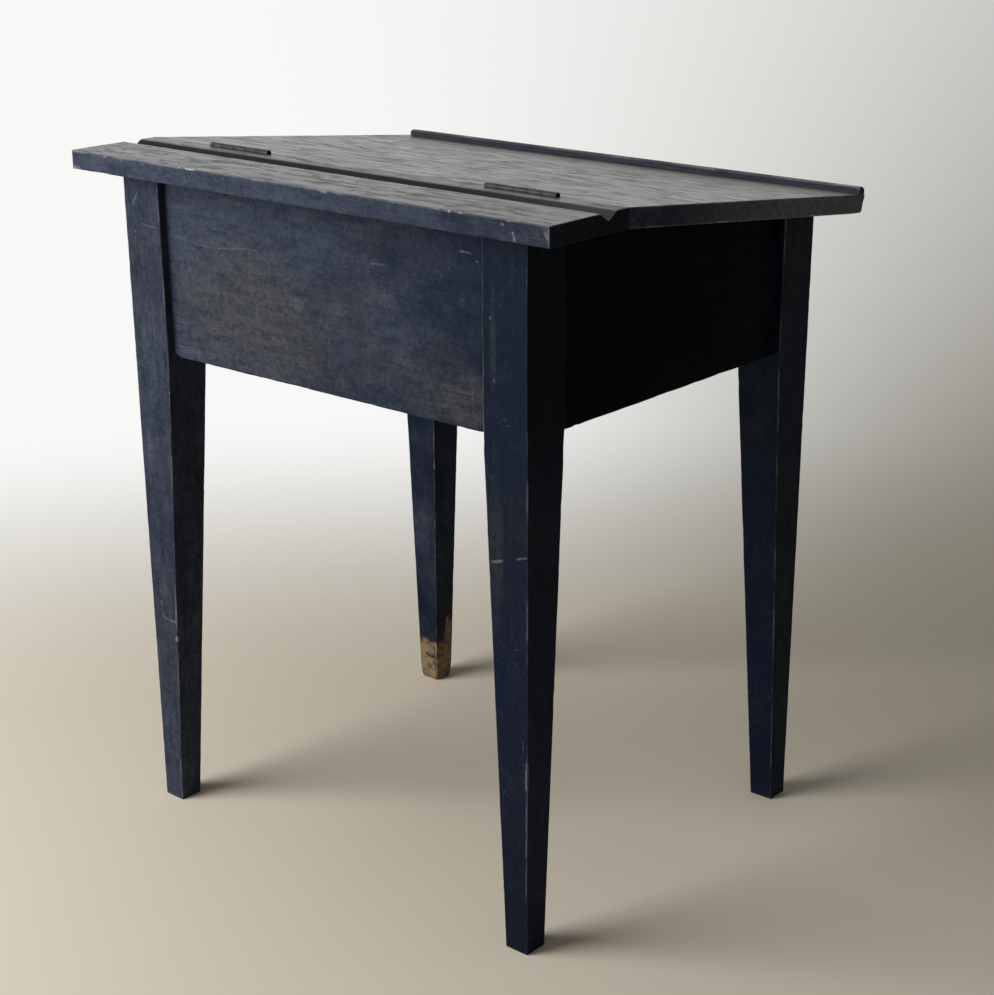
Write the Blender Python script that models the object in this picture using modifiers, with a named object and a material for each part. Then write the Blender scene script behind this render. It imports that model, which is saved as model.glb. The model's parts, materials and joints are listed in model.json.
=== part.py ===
"""School desk of painted pine: a level pen board and a hinged lid over a deep box on four tapered legs.

Units are metres, +Z is up and the floor is at z = 0. The pupil sits on the -Y side, and the pen board is on
the +Y side. Left is -X and right is +X, as the pupil sees them. The origin lies on the floor under the
middle of the desk's outline.
"""

import math

import bmesh
import bpy
from mathutils import Vector

# Overall sizes
WIDTH = 0.656  # pen board and lid, end to end
DEPTH = 0.526  # back edge of the pen board to the nose of the lid
TOP_HEIGHT = 0.760  # floor to the top of the pen board
BOARD_THICKNESS = 0.020  # pen board and lid planks, planed from one stock
SIDE_OVERHANG = 0.048  # ends of the top past the legs
BACK_OVERHANG = 0.028  # pen board past the back legs
FRONT_OVERHANG = 0.020  # lid past the front legs

# Legs, square down to the panels' lower edges and tapered on their two inner faces below
LEG_SIZE = 0.055
LEG_FOOT = 0.028
LEG_EASE = 0.0015

# Panels of the box, tenoned into the legs and set back from their outer faces
PANEL_BOTTOM = 0.544
PANEL_THICKNESS = 0.018
PANEL_RECESS = 0.009
PANEL_EASE = 0.002
TENON_THICKNESS = 0.008
TENON_SHOULDER = 0.015  # panel left above and below a tenon
MORTISE_WALL = 0.010  # wood left between a mortise's end and its neighbour

# Floor of the box, on cleats nailed to the panels
FLOOR_THICKNESS = 0.012
FLOOR_BOARDS = ("front", "middle", "back")
FLOOR_JOINT = 0.0006
CLEAT_SIZE = 0.018
NAILS_PER_CLEAT = 2
NAIL_BITE = 0.010  # depth in the panel
NAIL_RADIUS = 0.0011
NAIL_TIP = 0.0022
NAIL_HEAD_RADIUS = 0.0026
NAIL_HEAD_HEIGHT = 0.0010

# Pen board, with a groove along it, on blocks glued to the back panel
PEN_BOARD_DEPTH = 0.112
PEN_BOARD_EASE = 0.0015
GROOVE_WIDTH = 0.0235
GROOVE_DEPTH = 0.0082
GROOVE_STRIP = 0.017  # wood between the groove and the lid
GROOVE_BACK_EASE = 0.002
GROOVE_FLOOR_RADIUS = 0.003
GROOVE_FRONT_EASE = 0.006
BLOCK_SIZE = 0.022
BLOCK_LENGTH = 0.060
BLOCK_END_SPACE = 0.030  # back leg to the outer block

# Lid: planks glued edge to edge, two battens under them and a lip along the low edge
LID_SLOPE = math.radians(6.45)
LID_PLANKS = ("back", "middle", "front")
LID_NOSE_EASE = 0.003
LIP_HEIGHT = 0.008
LIP_DEPTH = 0.012
LIP_BACK_EASE = 0.003
LIP_FRONT_EASE = 0.0065
LIP_END_SPACES = {"left": 0.0, "right": 0.012}  # end of the lid to the lip
LIP_END_ROUNDS = {"left": 0.002, "right": 0.005}
BATTEN_WIDTH = 0.045
BATTEN_THICKNESS = 0.018
BATTEN_EASE = 0.002
BATTEN_INSET = 0.130  # lid's end to the batten
BATTEN_BACK_SPACE = 0.030  # hinge axis to the batten
BATTEN_FRONT_SPACE = 0.012  # front panel to the batten
BATTEN_SCREW_BITE = 0.012  # depth in a plank

# Hinges, let into the edges of the pen board and the lid with half of the barrel standing proud
HINGE_LENGTH = 0.088
HINGE_INSETS = {"left": 0.082, "right": 0.098}  # end of the top to the hinge
HINGE_RISE = 0.0005  # axis above the pen board
BARREL_RADIUS = 0.0033
KNUCKLES = 5
PIN_RADIUS = 0.002
PIN_RECESS = 0.0025  # pin's ends inside the barrel
LEAF_THICKNESS = 0.0016
LEAF_MARGIN = 0.004  # wood left under a leaf
SCREWS_PER_LEAF = 3
HINGE_SCREW_LENGTH = 0.016
SCREW_HEAD_RADIUS = 0.0033
SCREW_SHANK_RADIUS = 0.0016
SCREW_TIP = 0.004
SCREW_SINK = 0.0001  # heads below their seats
SCREW_SLOT_WIDTH = 0.0008
SCREW_SLOT_DEPTH = 0.0006

# Clearances
FIT_GAP = 0.0003  # between glued, seated or screwed faces
RUN_GAP = 0.0003  # around and between the hinge's knuckles
COVE_GAP = 0.0005  # between the barrel and the wood
LID_JOINT = 0.0008  # between the pen board and the lid
LEAF_JOINT = 0.0006  # between the two leaves of a hinge

# Facets and mesh tolerances
ARC_STEPS = 4
EASE_SEGMENTS = 2
BARREL_SIDES = 24
SCREW_SIDES = 12
SMOOTH_ANGLE = math.radians(40)  # edges sharper than this stay crisp
WELD_DISTANCE = 0.00001
CUT_MARGIN = 0.002  # cutters reach this far past what they cut

# Places worked out from the sizes
BACK_EDGE = DEPTH / 2
FRONT_EDGE = -DEPTH / 2
LEG_X = WIDTH / 2 - SIDE_OVERHANG
LEG_BACK_Y = BACK_EDGE - BACK_OVERHANG
LEG_FRONT_Y = FRONT_EDGE + FRONT_OVERHANG
PANEL_INNER = PANEL_RECESS + PANEL_THICKNESS
BOX_X = LEG_X - PANEL_INNER
BOX_BACK_Y = LEG_BACK_Y - PANEL_INNER
BOX_FRONT_Y = LEG_FRONT_Y + PANEL_INNER
UNDER_PEN_BOARD = TOP_HEIGHT - BOARD_THICKNESS - FIT_GAP
TENON_LENGTH = LEG_SIZE - PANEL_RECESS - (PANEL_THICKNESS + TENON_THICKNESS) / 2 - MORTISE_WALL
AXIS_Y = BACK_EDGE - PEN_BOARD_DEPTH - LID_JOINT / 2
AXIS_Z = TOP_HEIGHT + HINGE_RISE
LID_LENGTH = (
    AXIS_Y - FRONT_EDGE - (LIP_HEIGHT - LIP_FRONT_EASE) * math.sin(LID_SLOPE)
) / math.cos(LID_SLOPE)
LEAF_HEIGHT = HINGE_RISE + BOARD_THICKNESS - LEAF_MARGIN
LEAF_SEAT = LEAF_JOINT / 2 + LEAF_THICKNESS  # axis to a leaf's back
KNUCKLE_LENGTH = (HINGE_LENGTH - (KNUCKLES - 1) * RUN_GAP) / KNUCKLES
SCREW_HEAD_HEIGHT = LEAF_THICKNESS - 2 * SCREW_SINK
SCREW_DROP = (BARREL_RADIUS + LEAF_HEIGHT) / 2  # axis to the row of hinge screws

# Turns that carry a shape from its own frame to the desk's
PROFILE_ALONG_X = (math.pi / 2, 0, math.pi / 2)  # outline in Y and Z, length along X
PROFILE_ALONG_Y = (math.pi / 2, 0, 0)  # outline in X and Z, length along Y
ROD_ALONG_X = (0, math.pi / 2, 0)
HEAD_TO_FRONT = (math.pi / 2, 0, 0)
HEAD_TO_BACK = (-math.pi / 2, 0, 0)
HEAD_TO_RIGHT = (0, math.pi / 2, 0)
HEAD_TO_LEFT = (0, -math.pi / 2, 0)
HEAD_UNDER_LID = (math.pi + LID_SLOPE, 0, 0)
SIDES = {"left": -1, "right": 1}
ENDS = {"front": -1, "back": 1}


def clear_scene():
    for obj in list(bpy.data.objects):
        bpy.data.objects.remove(obj, do_unlink=True)


def new_collection(name):
    collection = bpy.data.collections.new(name)
    bpy.context.scene.collection.children.link(collection)
    return collection


def new_material(name, color, roughness, metallic):
    material = bpy.data.materials.new(name)
    material.use_nodes = True
    shader = material.node_tree.nodes["Principled BSDF"]
    shader.inputs["Base Color"].default_value = (*color, 1.0)
    shader.inputs["Roughness"].default_value = roughness
    shader.inputs["Metallic"].default_value = metallic
    return material


clear_scene()
DESK = new_collection("school_desk")
CUTTERS = new_collection("school_desk_cutters")
PAINT = new_material("blue_black_paint", color=(0.028, 0.034, 0.048), roughness=0.55, metallic=0.0)
PINE = new_material("bare_pine", color=(0.42, 0.27, 0.14), roughness=0.75, metallic=0.0)
IRON = new_material("dark_iron", color=(0.075, 0.072, 0.070), roughness=0.5, metallic=0.9)


def new_object(name, mesh, collection, location, rotation):
    obj = bpy.data.objects.new(name, mesh)
    obj.location = location
    obj.rotation_euler = rotation
    collection.objects.link(obj)
    return obj


def add_part(name, mesh, material, location=(0, 0, 0), rotation=(0, 0, 0), parent=None):
    """Adds a sub-part at a place in the desk's frame; a parent empty is unturned."""
    obj = new_object(name, mesh, DESK, location, rotation)
    if not mesh.materials:
        mesh.materials.append(material)
    if parent:
        obj.parent = parent
        obj.location = Vector(location) - parent.location
    return obj


def add_cutter(name, mesh, location=(0, 0, 0), rotation=(0, 0, 0)):
    obj = new_object(name, mesh, CUTTERS, location, rotation)
    obj.hide_render = True
    obj.display_type = "WIRE"
    return obj


def combine(obj, other, operation):
    modifier = obj.modifiers.new(f"{operation.lower()}_{other.name}", "BOOLEAN")
    modifier.operation = operation
    modifier.solver = "EXACT"
    modifier.object = other


def ease_edges(obj, width):
    """Takes the sharpness off every edge, before any cuts are made."""
    modifier = obj.modifiers.new("eased_edges", "BEVEL")
    modifier.width = width
    modifier.segments = EASE_SEGMENTS
    modifier.limit_method = "ANGLE"


def to_mesh(bm, name):
    bmesh.ops.recalc_face_normals(bm, faces=bm.faces)
    mesh = bpy.data.meshes.new(name)
    bm.to_mesh(mesh)
    bm.free()
    return mesh


def evaluated_mesh(obj, name):
    """The object's shape with its modifiers applied; the object itself is removed."""
    depsgraph = bpy.context.evaluated_depsgraph_get()
    mesh = bpy.data.meshes.new_from_object(obj.evaluated_get(depsgraph), depsgraph=depsgraph)
    mesh.name = name
    bpy.data.objects.remove(obj, do_unlink=True)
    return mesh


def shade_round(mesh):
    mesh.shade_smooth()
    mesh.set_sharp_from_angle(angle=SMOOTH_ANGLE)
    return mesh


def box_mesh(name, size):
    bm = bmesh.new()
    bmesh.ops.create_cube(bm, size=1.0)
    bmesh.ops.scale(bm, vec=size, verts=bm.verts)
    return to_mesh(bm, name)


def rod_mesh(name, radius, length):
    bm = bmesh.new()
    bmesh.ops.create_cone(
        bm, cap_ends=True, segments=BARREL_SIDES, radius1=radius, radius2=radius, depth=length
    )
    return shade_round(to_mesh(bm, name))


def prism_mesh(name, outline, length):
    """A flat outline given a length along its own Z."""
    curve = bpy.data.curves.new(name, "CURVE")
    curve.dimensions = "2D"
    curve.fill_mode = "BOTH"
    curve.extrude = length / 2
    spline = curve.splines.new("POLY")
    spline.points.add(len(outline) - 1)
    for point, (across, up) in zip(spline.points, outline):
        point.co = (across, up, 0, 1)
    spline.use_cyclic_u = True
    obj = new_object(name, curve, CUTTERS, (0, 0, 0), (0, 0, 0))
    bpy.context.view_layer.update()
    mesh = evaluated_mesh(obj, name)
    bpy.data.curves.remove(curve)
    bm = bmesh.new()
    bm.from_mesh(mesh)
    bpy.data.meshes.remove(mesh)
    bmesh.ops.remove_doubles(bm, verts=bm.verts, dist=WELD_DISTANCE)
    return to_mesh(bm, name)


def turned_mesh(name, profile):
    """A profile of radius and height, listed from the top down, turned about Z."""
    mesh = bpy.data.meshes.new(name)
    edges = [(i, i + 1) for i in range(len(profile) - 1)]
    mesh.from_pydata([(radius, 0, height) for radius, height in profile], edges, [])
    obj = new_object(name, mesh, CUTTERS, (0, 0, 0), (0, 0, 0))
    modifier = obj.modifiers.new("turn", "SCREW")
    modifier.steps = SCREW_SIDES
    modifier.render_steps = SCREW_SIDES
    modifier.use_merge_vertices = True
    modifier.merge_threshold = WELD_DISTANCE
    turned = evaluated_mesh(obj, name)
    bpy.data.meshes.remove(mesh)
    return shade_round(turned)


def built_mesh(name, base, steps):
    """A base mesh joined to or cut by others, each given as (operation, mesh, location, rotation)."""
    obj = new_object(name, base, CUTTERS, (0, 0, 0), (0, 0, 0))
    tools = []
    for number, (operation, mesh, location, rotation) in enumerate(steps):
        tools.append(new_object(f"{name}_tool_{number}", mesh, CUTTERS, location, rotation))
        combine(obj, tools[-1], operation)
    bpy.context.view_layer.update()
    mesh = evaluated_mesh(obj, name)
    for tool in tools:
        bpy.data.objects.remove(tool, do_unlink=True)
    return mesh


def rounded_outline(corners):
    """An outline from (across, up, radius) corners, with an arc at each corner that has a radius."""
    outline = []
    for i, (across, up, radius) in enumerate(corners):
        corner = Vector((across, up))
        if not radius:
            outline.append(corner)
            continue
        before = (Vector(corners[i - 1][:2]) - corner).normalized()
        after = (Vector(corners[(i + 1) % len(corners)][:2]) - corner).normalized()
        half_angle = before.angle(after) / 2
        centre = corner + (before + after).normalized() * (radius / math.sin(half_angle))
        start = corner + before * (radius / math.tan(half_angle)) - centre
        sweep = (math.pi - 2 * half_angle) * (1 if before.cross(after) < 0 else -1)
        for step in range(ARC_STEPS + 1):
            turn = sweep * step / ARC_STEPS
            cosine, sine = math.cos(turn), math.sin(turn)
            outline.append(
                centre + Vector((start.x * cosine - start.y * sine, start.x * sine + start.y * cosine))
            )
    return outline


def lid_point(along, above):
    """A point of the closed lid, as (y, z) from the hinge axis: along the slope and above its top."""
    sine, cosine = math.sin(LID_SLOPE), math.cos(LID_SLOPE)
    return (-along * cosine - above * sine, -HINGE_RISE - along * sine + above * cosine)


def lid_place(x, along, above):
    y, z = lid_point(along, above)
    return (x, AXIS_Y + y, AXIS_Z + z)


def under_lid(y):
    """Height of the seat under the closed lid at a distance y from the desk's middle."""
    _, seat_y, seat_z = lid_place(0, 0, -BOARD_THICKNESS - FIT_GAP)
    return seat_z + (y - seat_y) * math.tan(LID_SLOPE)


def seat_height(y):
    """Height of what carries the top: level under the pen board and sloping under the lid."""
    return min(UNDER_PEN_BOARD, under_lid(y))


def make_leg(name, side, end):
    """A leg with its origin on the floor at its outer corner, cut to the slope of what it carries."""
    corner = (side * LEG_X, LEG_BACK_Y if end > 0 else LEG_FRONT_Y, 0)
    bm = bmesh.new()
    bmesh.ops.create_cube(bm, size=1.0)
    bmesh.ops.scale(bm, vec=(LEG_SIZE, LEG_SIZE, UNDER_PEN_BOARD), verts=bm.verts)
    middle = (-side * LEG_SIZE / 2, -end * LEG_SIZE / 2, UNDER_PEN_BOARD / 2)
    bmesh.ops.translate(bm, vec=middle, verts=bm.verts)
    whole = bm.verts[:] + bm.edges[:] + bm.faces[:]
    bmesh.ops.bisect_plane(bm, geom=whole, plane_co=(0, 0, PANEL_BOTTOM), plane_no=(0, 0, 1))
    for vert in bm.verts:
        if vert.co.z < PANEL_BOTTOM / 2:
            vert.co.x *= LEG_FOOT / LEG_SIZE
            vert.co.y *= LEG_FOOT / LEG_SIZE
        elif vert.co.z > (PANEL_BOTTOM + UNDER_PEN_BOARD) / 2:
            vert.co.z = seat_height(corner[1] + vert.co.y)
    leg = add_part(name, to_mesh(bm, name), PAINT, corner)
    ease_edges(leg, LEG_EASE)
    return leg


def add_tenons(panel, legs, centre, size):
    """Joins a bar with a tenon at each end to a panel, and cuts the two mortises that take it."""
    name = panel.name
    combine(panel, add_cutter(f"{name}_tenons", box_mesh(f"{name}_tenons", size), centre), "UNION")
    mortise_size = [length + 2 * FIT_GAP for length in size]
    mortises = add_cutter(f"{name}_mortises", box_mesh(f"{name}_mortises", mortise_size), centre)
    for leg in legs:
        combine(leg, mortises, "DIFFERENCE")


def make_cross_panel(name, end, legs):
    """The back or front panel, between two legs, with its upper edge under the pen board or the lid."""
    outer = LEG_BACK_Y - PANEL_RECESS if end > 0 else LEG_FRONT_Y + PANEL_RECESS
    inner = outer - end * PANEL_THICKNESS
    outer_top = seat_height(outer)
    inner_top = seat_height(inner)
    outline = [(outer, PANEL_BOTTOM), (inner, PANEL_BOTTOM), (inner, inner_top), (outer, outer_top)]
    length = 2 * (LEG_X - LEG_SIZE - FIT_GAP)
    panel = add_part(name, prism_mesh(name, outline, length), PAINT, rotation=PROFILE_ALONG_X)
    ease_edges(panel, PANEL_EASE)
    bottom = PANEL_BOTTOM + TENON_SHOULDER
    top = min(inner_top, outer_top) - TENON_SHOULDER
    size = (length + 2 * (FIT_GAP + TENON_LENGTH), TENON_THICKNESS, top - bottom)
    add_tenons(panel, legs, (0, (outer + inner) / 2, (top + bottom) / 2), size)
    return panel


def make_side_panel(name, side, legs):
    """A side panel, level under the pen board and sloping under the lid."""
    front = LEG_FRONT_Y + LEG_SIZE + FIT_GAP
    back = LEG_BACK_Y - LEG_SIZE - FIT_GAP
    kink = AXIS_Y + (UNDER_PEN_BOARD - under_lid(AXIS_Y)) / math.tan(LID_SLOPE)
    upper_edge = [back, kink, front] if front < kink < back else [back, front]
    outline = [(front, PANEL_BOTTOM), (back, PANEL_BOTTOM)]
    outline += [(y, seat_height(y)) for y in upper_edge]
    x = side * (LEG_X - PANEL_RECESS - PANEL_THICKNESS / 2)
    mesh = prism_mesh(name, outline, PANEL_THICKNESS)
    panel = add_part(name, mesh, PAINT, (x, 0, 0), PROFILE_ALONG_X)
    ease_edges(panel, PANEL_EASE)
    bottom = PANEL_BOTTOM + TENON_SHOULDER
    top = seat_height(front) - TENON_SHOULDER
    size = (TENON_THICKNESS, back - front + 2 * (FIT_GAP + TENON_LENGTH), top - bottom)
    add_tenons(panel, legs, (x, (front + back) / 2, (top + bottom) / 2), size)
    return panel


def make_floor():
    """Boards across the box; the outer two are notched around the legs."""
    front = BOX_FRONT_Y + FIT_GAP
    step = (BOX_BACK_Y - FIT_GAP - front) / len(FLOOR_BOARDS)
    wide = BOX_X - FIT_GAP
    narrow = LEG_X - LEG_SIZE - FIT_GAP
    notch = LEG_SIZE - PANEL_INNER
    z = PANEL_BOTTOM + CLEAT_SIZE + FIT_GAP + FLOOR_THICKNESS / 2
    for number, place in enumerate(FLOOR_BOARDS):
        low = front + number * step + (FLOOR_JOINT / 2 if number else 0)
        last = number == len(FLOOR_BOARDS) - 1
        high = front + (number + 1) * step - (0 if last else FLOOR_JOINT / 2)
        right = [(wide, low), (wide, high)]
        if number == 0:
            right = [(narrow, low), (narrow, low + notch), (wide, low + notch), (wide, high)]
        if last:
            right = [(wide, low), (wide, high - notch), (narrow, high - notch), (narrow, high)]
        left = [(-x, y) for x, y in reversed(right)]
        name = f"floor_board_{place}"
        add_part(name, prism_mesh(name, right + left, FLOOR_THICKNESS), PINE, (0, 0, z))


def nail_profile(length):
    return [
        (0, NAIL_HEAD_HEIGHT),
        (NAIL_HEAD_RADIUS, NAIL_HEAD_HEIGHT),
        (NAIL_HEAD_RADIUS, 0),
        (NAIL_RADIUS, 0),
        (NAIL_RADIUS, NAIL_TIP - length),
        (0, -length),
    ]


def nail_hole_profile(length):
    radius = NAIL_RADIUS + FIT_GAP
    return [(0, CUT_MARGIN), (radius, CUT_MARGIN), (radius, -length - FIT_GAP), (0, -length - FIT_GAP)]


def make_cleat(place, panel, nail, nail_hole):
    """A cleat along the foot of a panel, and the nails that go through it into the panel."""
    name = f"floor_cleat_{place}"
    z = PANEL_BOTTOM + CLEAT_SIZE / 2
    if place in SIDES:
        direction = SIDES[place]
        across = Vector((direction, 0, 0))
        along = Vector((0, 1, 0))
        face = BOX_X
        centre_y = (LEG_BACK_Y + LEG_FRONT_Y) / 2
        length = LEG_BACK_Y - LEG_FRONT_Y - 2 * (LEG_SIZE + FIT_GAP)
        size = (CLEAT_SIZE, length, CLEAT_SIZE)
        centre = Vector((direction * (face - FIT_GAP - CLEAT_SIZE / 2), centre_y, z))
        turn = HEAD_TO_LEFT if direction > 0 else HEAD_TO_RIGHT
    else:
        direction = ENDS[place]
        across = Vector((0, direction, 0))
        along = Vector((1, 0, 0))
        face = BOX_BACK_Y if direction > 0 else BOX_FRONT_Y
        length = 2 * (LEG_X - LEG_SIZE - FIT_GAP)
        size = (length, CLEAT_SIZE, CLEAT_SIZE)
        centre = Vector((0, face - direction * (FIT_GAP + CLEAT_SIZE / 2), z))
        turn = HEAD_TO_FRONT if direction > 0 else HEAD_TO_BACK
    cleat = add_part(name, box_mesh(name, size), PINE, centre)
    pitch = length / NAILS_PER_CLEAT
    for number in range(NAILS_PER_CLEAT):
        seat = centre + along * (number - (NAILS_PER_CLEAT - 1) / 2) * pitch
        seat -= across * (CLEAT_SIZE / 2 + FIT_GAP)
        hole = add_cutter(f"cleat_nail_hole_{place}_{number + 1}", nail_hole, seat, turn)
        combine(cleat, hole, "DIFFERENCE")
        combine(panel, hole, "DIFFERENCE")
        add_part(f"cleat_nail_{place}_{number + 1}", nail, IRON, seat, turn)


def make_pen_board(recesses):
    """The level board behind the lid, with its groove, cut for the hinges."""
    edge = AXIS_Y + LID_JOINT / 2
    bottom = TOP_HEIGHT - BOARD_THICKNESS
    groove_front = edge + GROOVE_STRIP
    outline = rounded_outline(
        [
            (edge, bottom, 0),
            (BACK_EDGE, bottom, PEN_BOARD_EASE),
            (BACK_EDGE, TOP_HEIGHT, PEN_BOARD_EASE),
            (groove_front + GROOVE_WIDTH, TOP_HEIGHT, GROOVE_BACK_EASE),
            (groove_front + GROOVE_WIDTH / 2, TOP_HEIGHT - GROOVE_DEPTH, GROOVE_FLOOR_RADIUS),
            (groove_front, TOP_HEIGHT, GROOVE_FRONT_EASE),
            (edge, TOP_HEIGHT, 0),
        ]
    )
    mesh = prism_mesh("pen_board", outline, WIDTH)
    board = add_part("pen_board", mesh, PAINT, rotation=PROFILE_ALONG_X)
    for recess in recesses:
        combine(board, recess, "DIFFERENCE")


def make_corner_blocks():
    """Blocks glued into the corner between the pen board and the back panel."""
    spacing = LEG_X - LEG_SIZE - BLOCK_END_SPACE - BLOCK_LENGTH / 2
    y = BOX_BACK_Y - FIT_GAP - BLOCK_SIZE / 2
    z = UNDER_PEN_BOARD - BLOCK_SIZE / 2
    block = box_mesh("corner_block", (BLOCK_LENGTH, BLOCK_SIZE, BLOCK_SIZE))
    for place, step in {"left": -1, "middle": 0, "right": 1}.items():
        add_part(f"corner_block_{place}", block, PINE, (step * spacing, y, z))


def screw_profile(length):
    return [
        (0, 0),
        (SCREW_HEAD_RADIUS, 0),
        (SCREW_SHANK_RADIUS, -SCREW_HEAD_HEIGHT),
        (SCREW_SHANK_RADIUS, SCREW_TIP - length),
        (0, -length),
    ]


def screw_hole_profile(length):
    head = SCREW_HEAD_RADIUS + FIT_GAP
    shank = SCREW_SHANK_RADIUS + FIT_GAP
    return [
        (0, CUT_MARGIN),
        (head, CUT_MARGIN),
        (head, 0),
        (shank, -SCREW_HEAD_HEIGHT),
        (shank, -length - FIT_GAP),
        (0, -length - FIT_GAP),
    ]


def screw_mesh(name, length):
    slot_size = (2 * (SCREW_HEAD_RADIUS + CUT_MARGIN), SCREW_SLOT_WIDTH, 2 * SCREW_SLOT_DEPTH)
    slot = box_mesh(f"{name}_slot", slot_size)
    blank = turned_mesh(f"{name}_blank", screw_profile(length))
    return built_mesh(name, blank, [("DIFFERENCE", slot, (0, 0, 0), (0, 0, 0))])


def knuckle_centre(number):
    return (number - (KNUCKLES - 1) / 2) * (KNUCKLE_LENGTH + RUN_GAP)


def leaf_screw_places(towards):
    """Seats of a leaf's screws from the hinge's middle; towards is 1 at the pen board, -1 at the lid."""
    pitch = HINGE_LENGTH / SCREWS_PER_LEAF
    y = towards * (LEAF_JOINT / 2 + SCREW_SINK)
    return [((i - (SCREWS_PER_LEAF - 1) / 2) * pitch, y, -SCREW_DROP) for i in range(SCREWS_PER_LEAF)]


def leaf_mesh(name, towards, screw_hole):
    """A leaf with every second knuckle, starting at the ends on the pen board's leaf."""
    plate = box_mesh(f"{name}_plate", (HINGE_LENGTH, LEAF_THICKNESS, LEAF_HEIGHT))
    shift = Vector((0, towards * (LEAF_SEAT - LEAF_THICKNESS / 2), -LEAF_HEIGHT / 2))
    for vert in plate.vertices:
        vert.co += shift
    barrel = rod_mesh(f"{name}_barrel", BARREL_RADIUS, HINGE_LENGTH)
    bore = rod_mesh(f"{name}_bore", PIN_RADIUS + RUN_GAP, HINGE_LENGTH + 2 * CUT_MARGIN)
    space = rod_mesh(f"{name}_space", BARREL_RADIUS + RUN_GAP, KNUCKLE_LENGTH + 2 * RUN_GAP)
    steps = [("UNION", barrel, (0, 0, 0), ROD_ALONG_X), ("DIFFERENCE", bore, (0, 0, 0), ROD_ALONG_X)]
    first_space = 1 if towards > 0 else 0
    for number in range(first_space, KNUCKLES, 2):
        steps.append(("DIFFERENCE", space, (knuckle_centre(number), 0, 0), ROD_ALONG_X))
    turn = HEAD_TO_FRONT if towards > 0 else HEAD_TO_BACK
    for place in leaf_screw_places(towards):
        steps.append(("DIFFERENCE", screw_hole, place, turn))
    return built_mesh(name, plate, steps)


def recess_mesh(screw_hole):
    """What a hinge takes out of the wood: seats for both leaves, a cove and the screw holes."""
    length = HINGE_LENGTH + 2 * FIT_GAP
    height = LEAF_HEIGHT + FIT_GAP + CUT_MARGIN
    seat = box_mesh("leaf_seats", (length, 2 * (LEAF_SEAT + FIT_GAP), height))
    for vert in seat.vertices:
        vert.co.z += CUT_MARGIN - height / 2
    cove = rod_mesh("barrel_cove", BARREL_RADIUS + COVE_GAP, length)
    steps = [("UNION", cove, (0, 0, 0), ROD_ALONG_X)]
    for towards, turn in ((1, HEAD_TO_FRONT), (-1, HEAD_TO_BACK)):
        for place in leaf_screw_places(towards):
            steps.append(("UNION", screw_hole, place, turn))
    return built_mesh("hinge_recess", seat, steps)


def hinge_places():
    reach = WIDTH / 2 - HINGE_LENGTH / 2
    return {side: (SIDES[side] * (reach - inset), AXIS_Y, AXIS_Z) for side, inset in HINGE_INSETS.items()}


def make_hinges(screw_hole, lid_axis):
    screw = screw_mesh("hinge_screw", HINGE_SCREW_LENGTH)
    fixed_leaf = leaf_mesh("hinge_leaf_fixed", 1, screw_hole)
    lid_leaf = leaf_mesh("hinge_leaf_lid", -1, screw_hole)
    pin = rod_mesh("hinge_pin", PIN_RADIUS, HINGE_LENGTH - 2 * PIN_RECESS)
    for side, place in hinge_places().items():
        add_part(f"hinge_leaf_fixed_{side}", fixed_leaf, IRON, place)
        add_part(f"hinge_leaf_lid_{side}", lid_leaf, IRON, place, parent=lid_axis)
        add_part(f"hinge_pin_{side}", pin, IRON, place, ROD_ALONG_X)
        for number, seat in enumerate(leaf_screw_places(1), start=1):
            at = Vector(place) + Vector(seat)
            add_part(f"hinge_screw_fixed_{side}_{number}", screw, IRON, at, HEAD_TO_FRONT)
        for number, seat in enumerate(leaf_screw_places(-1), start=1):
            at = Vector(place) + Vector(seat)
            add_part(f"hinge_screw_lid_{side}_{number}", screw, IRON, at, HEAD_TO_BACK, lid_axis)


def plank_edges():
    """Where each plank of the lid begins and ends along the slope, from the hinge axis."""
    width = LID_LENGTH / len(LID_PLANKS)
    edges = []
    for number in range(len(LID_PLANKS)):
        start = number * width + (FIT_GAP / 2 if number else 0)
        last = number == len(LID_PLANKS) - 1
        edges.append((start, (number + 1) * width - (0 if last else FIT_GAP / 2)))
    return edges


def plumb_edge(above):
    """Distance along the slope to the upright edge beside the pen board, at a height in the lid."""
    return (LID_JOINT / 2 - above * math.sin(LID_SLOPE)) / math.cos(LID_SLOPE)


def make_lid_planks(lid_axis):
    planks = []
    for number, (place, (start, end)) in enumerate(zip(LID_PLANKS, plank_edges())):
        top_start = start if number else plumb_edge(0)
        low_start = start if number else plumb_edge(-BOARD_THICKNESS)
        nose = LID_NOSE_EASE if number == len(LID_PLANKS) - 1 else 0
        corners = [
            (*lid_point(low_start, -BOARD_THICKNESS), 0),
            (*lid_point(top_start, 0), 0),
            (*lid_point(end, 0), 0),
            (*lid_point(end, -BOARD_THICKNESS), nose),
        ]
        name = f"lid_plank_{place}"
        mesh = prism_mesh(name, rounded_outline(corners), WIDTH)
        planks.append(add_part(name, mesh, PAINT, lid_axis.location, PROFILE_ALONG_X, lid_axis))
    return planks


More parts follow.
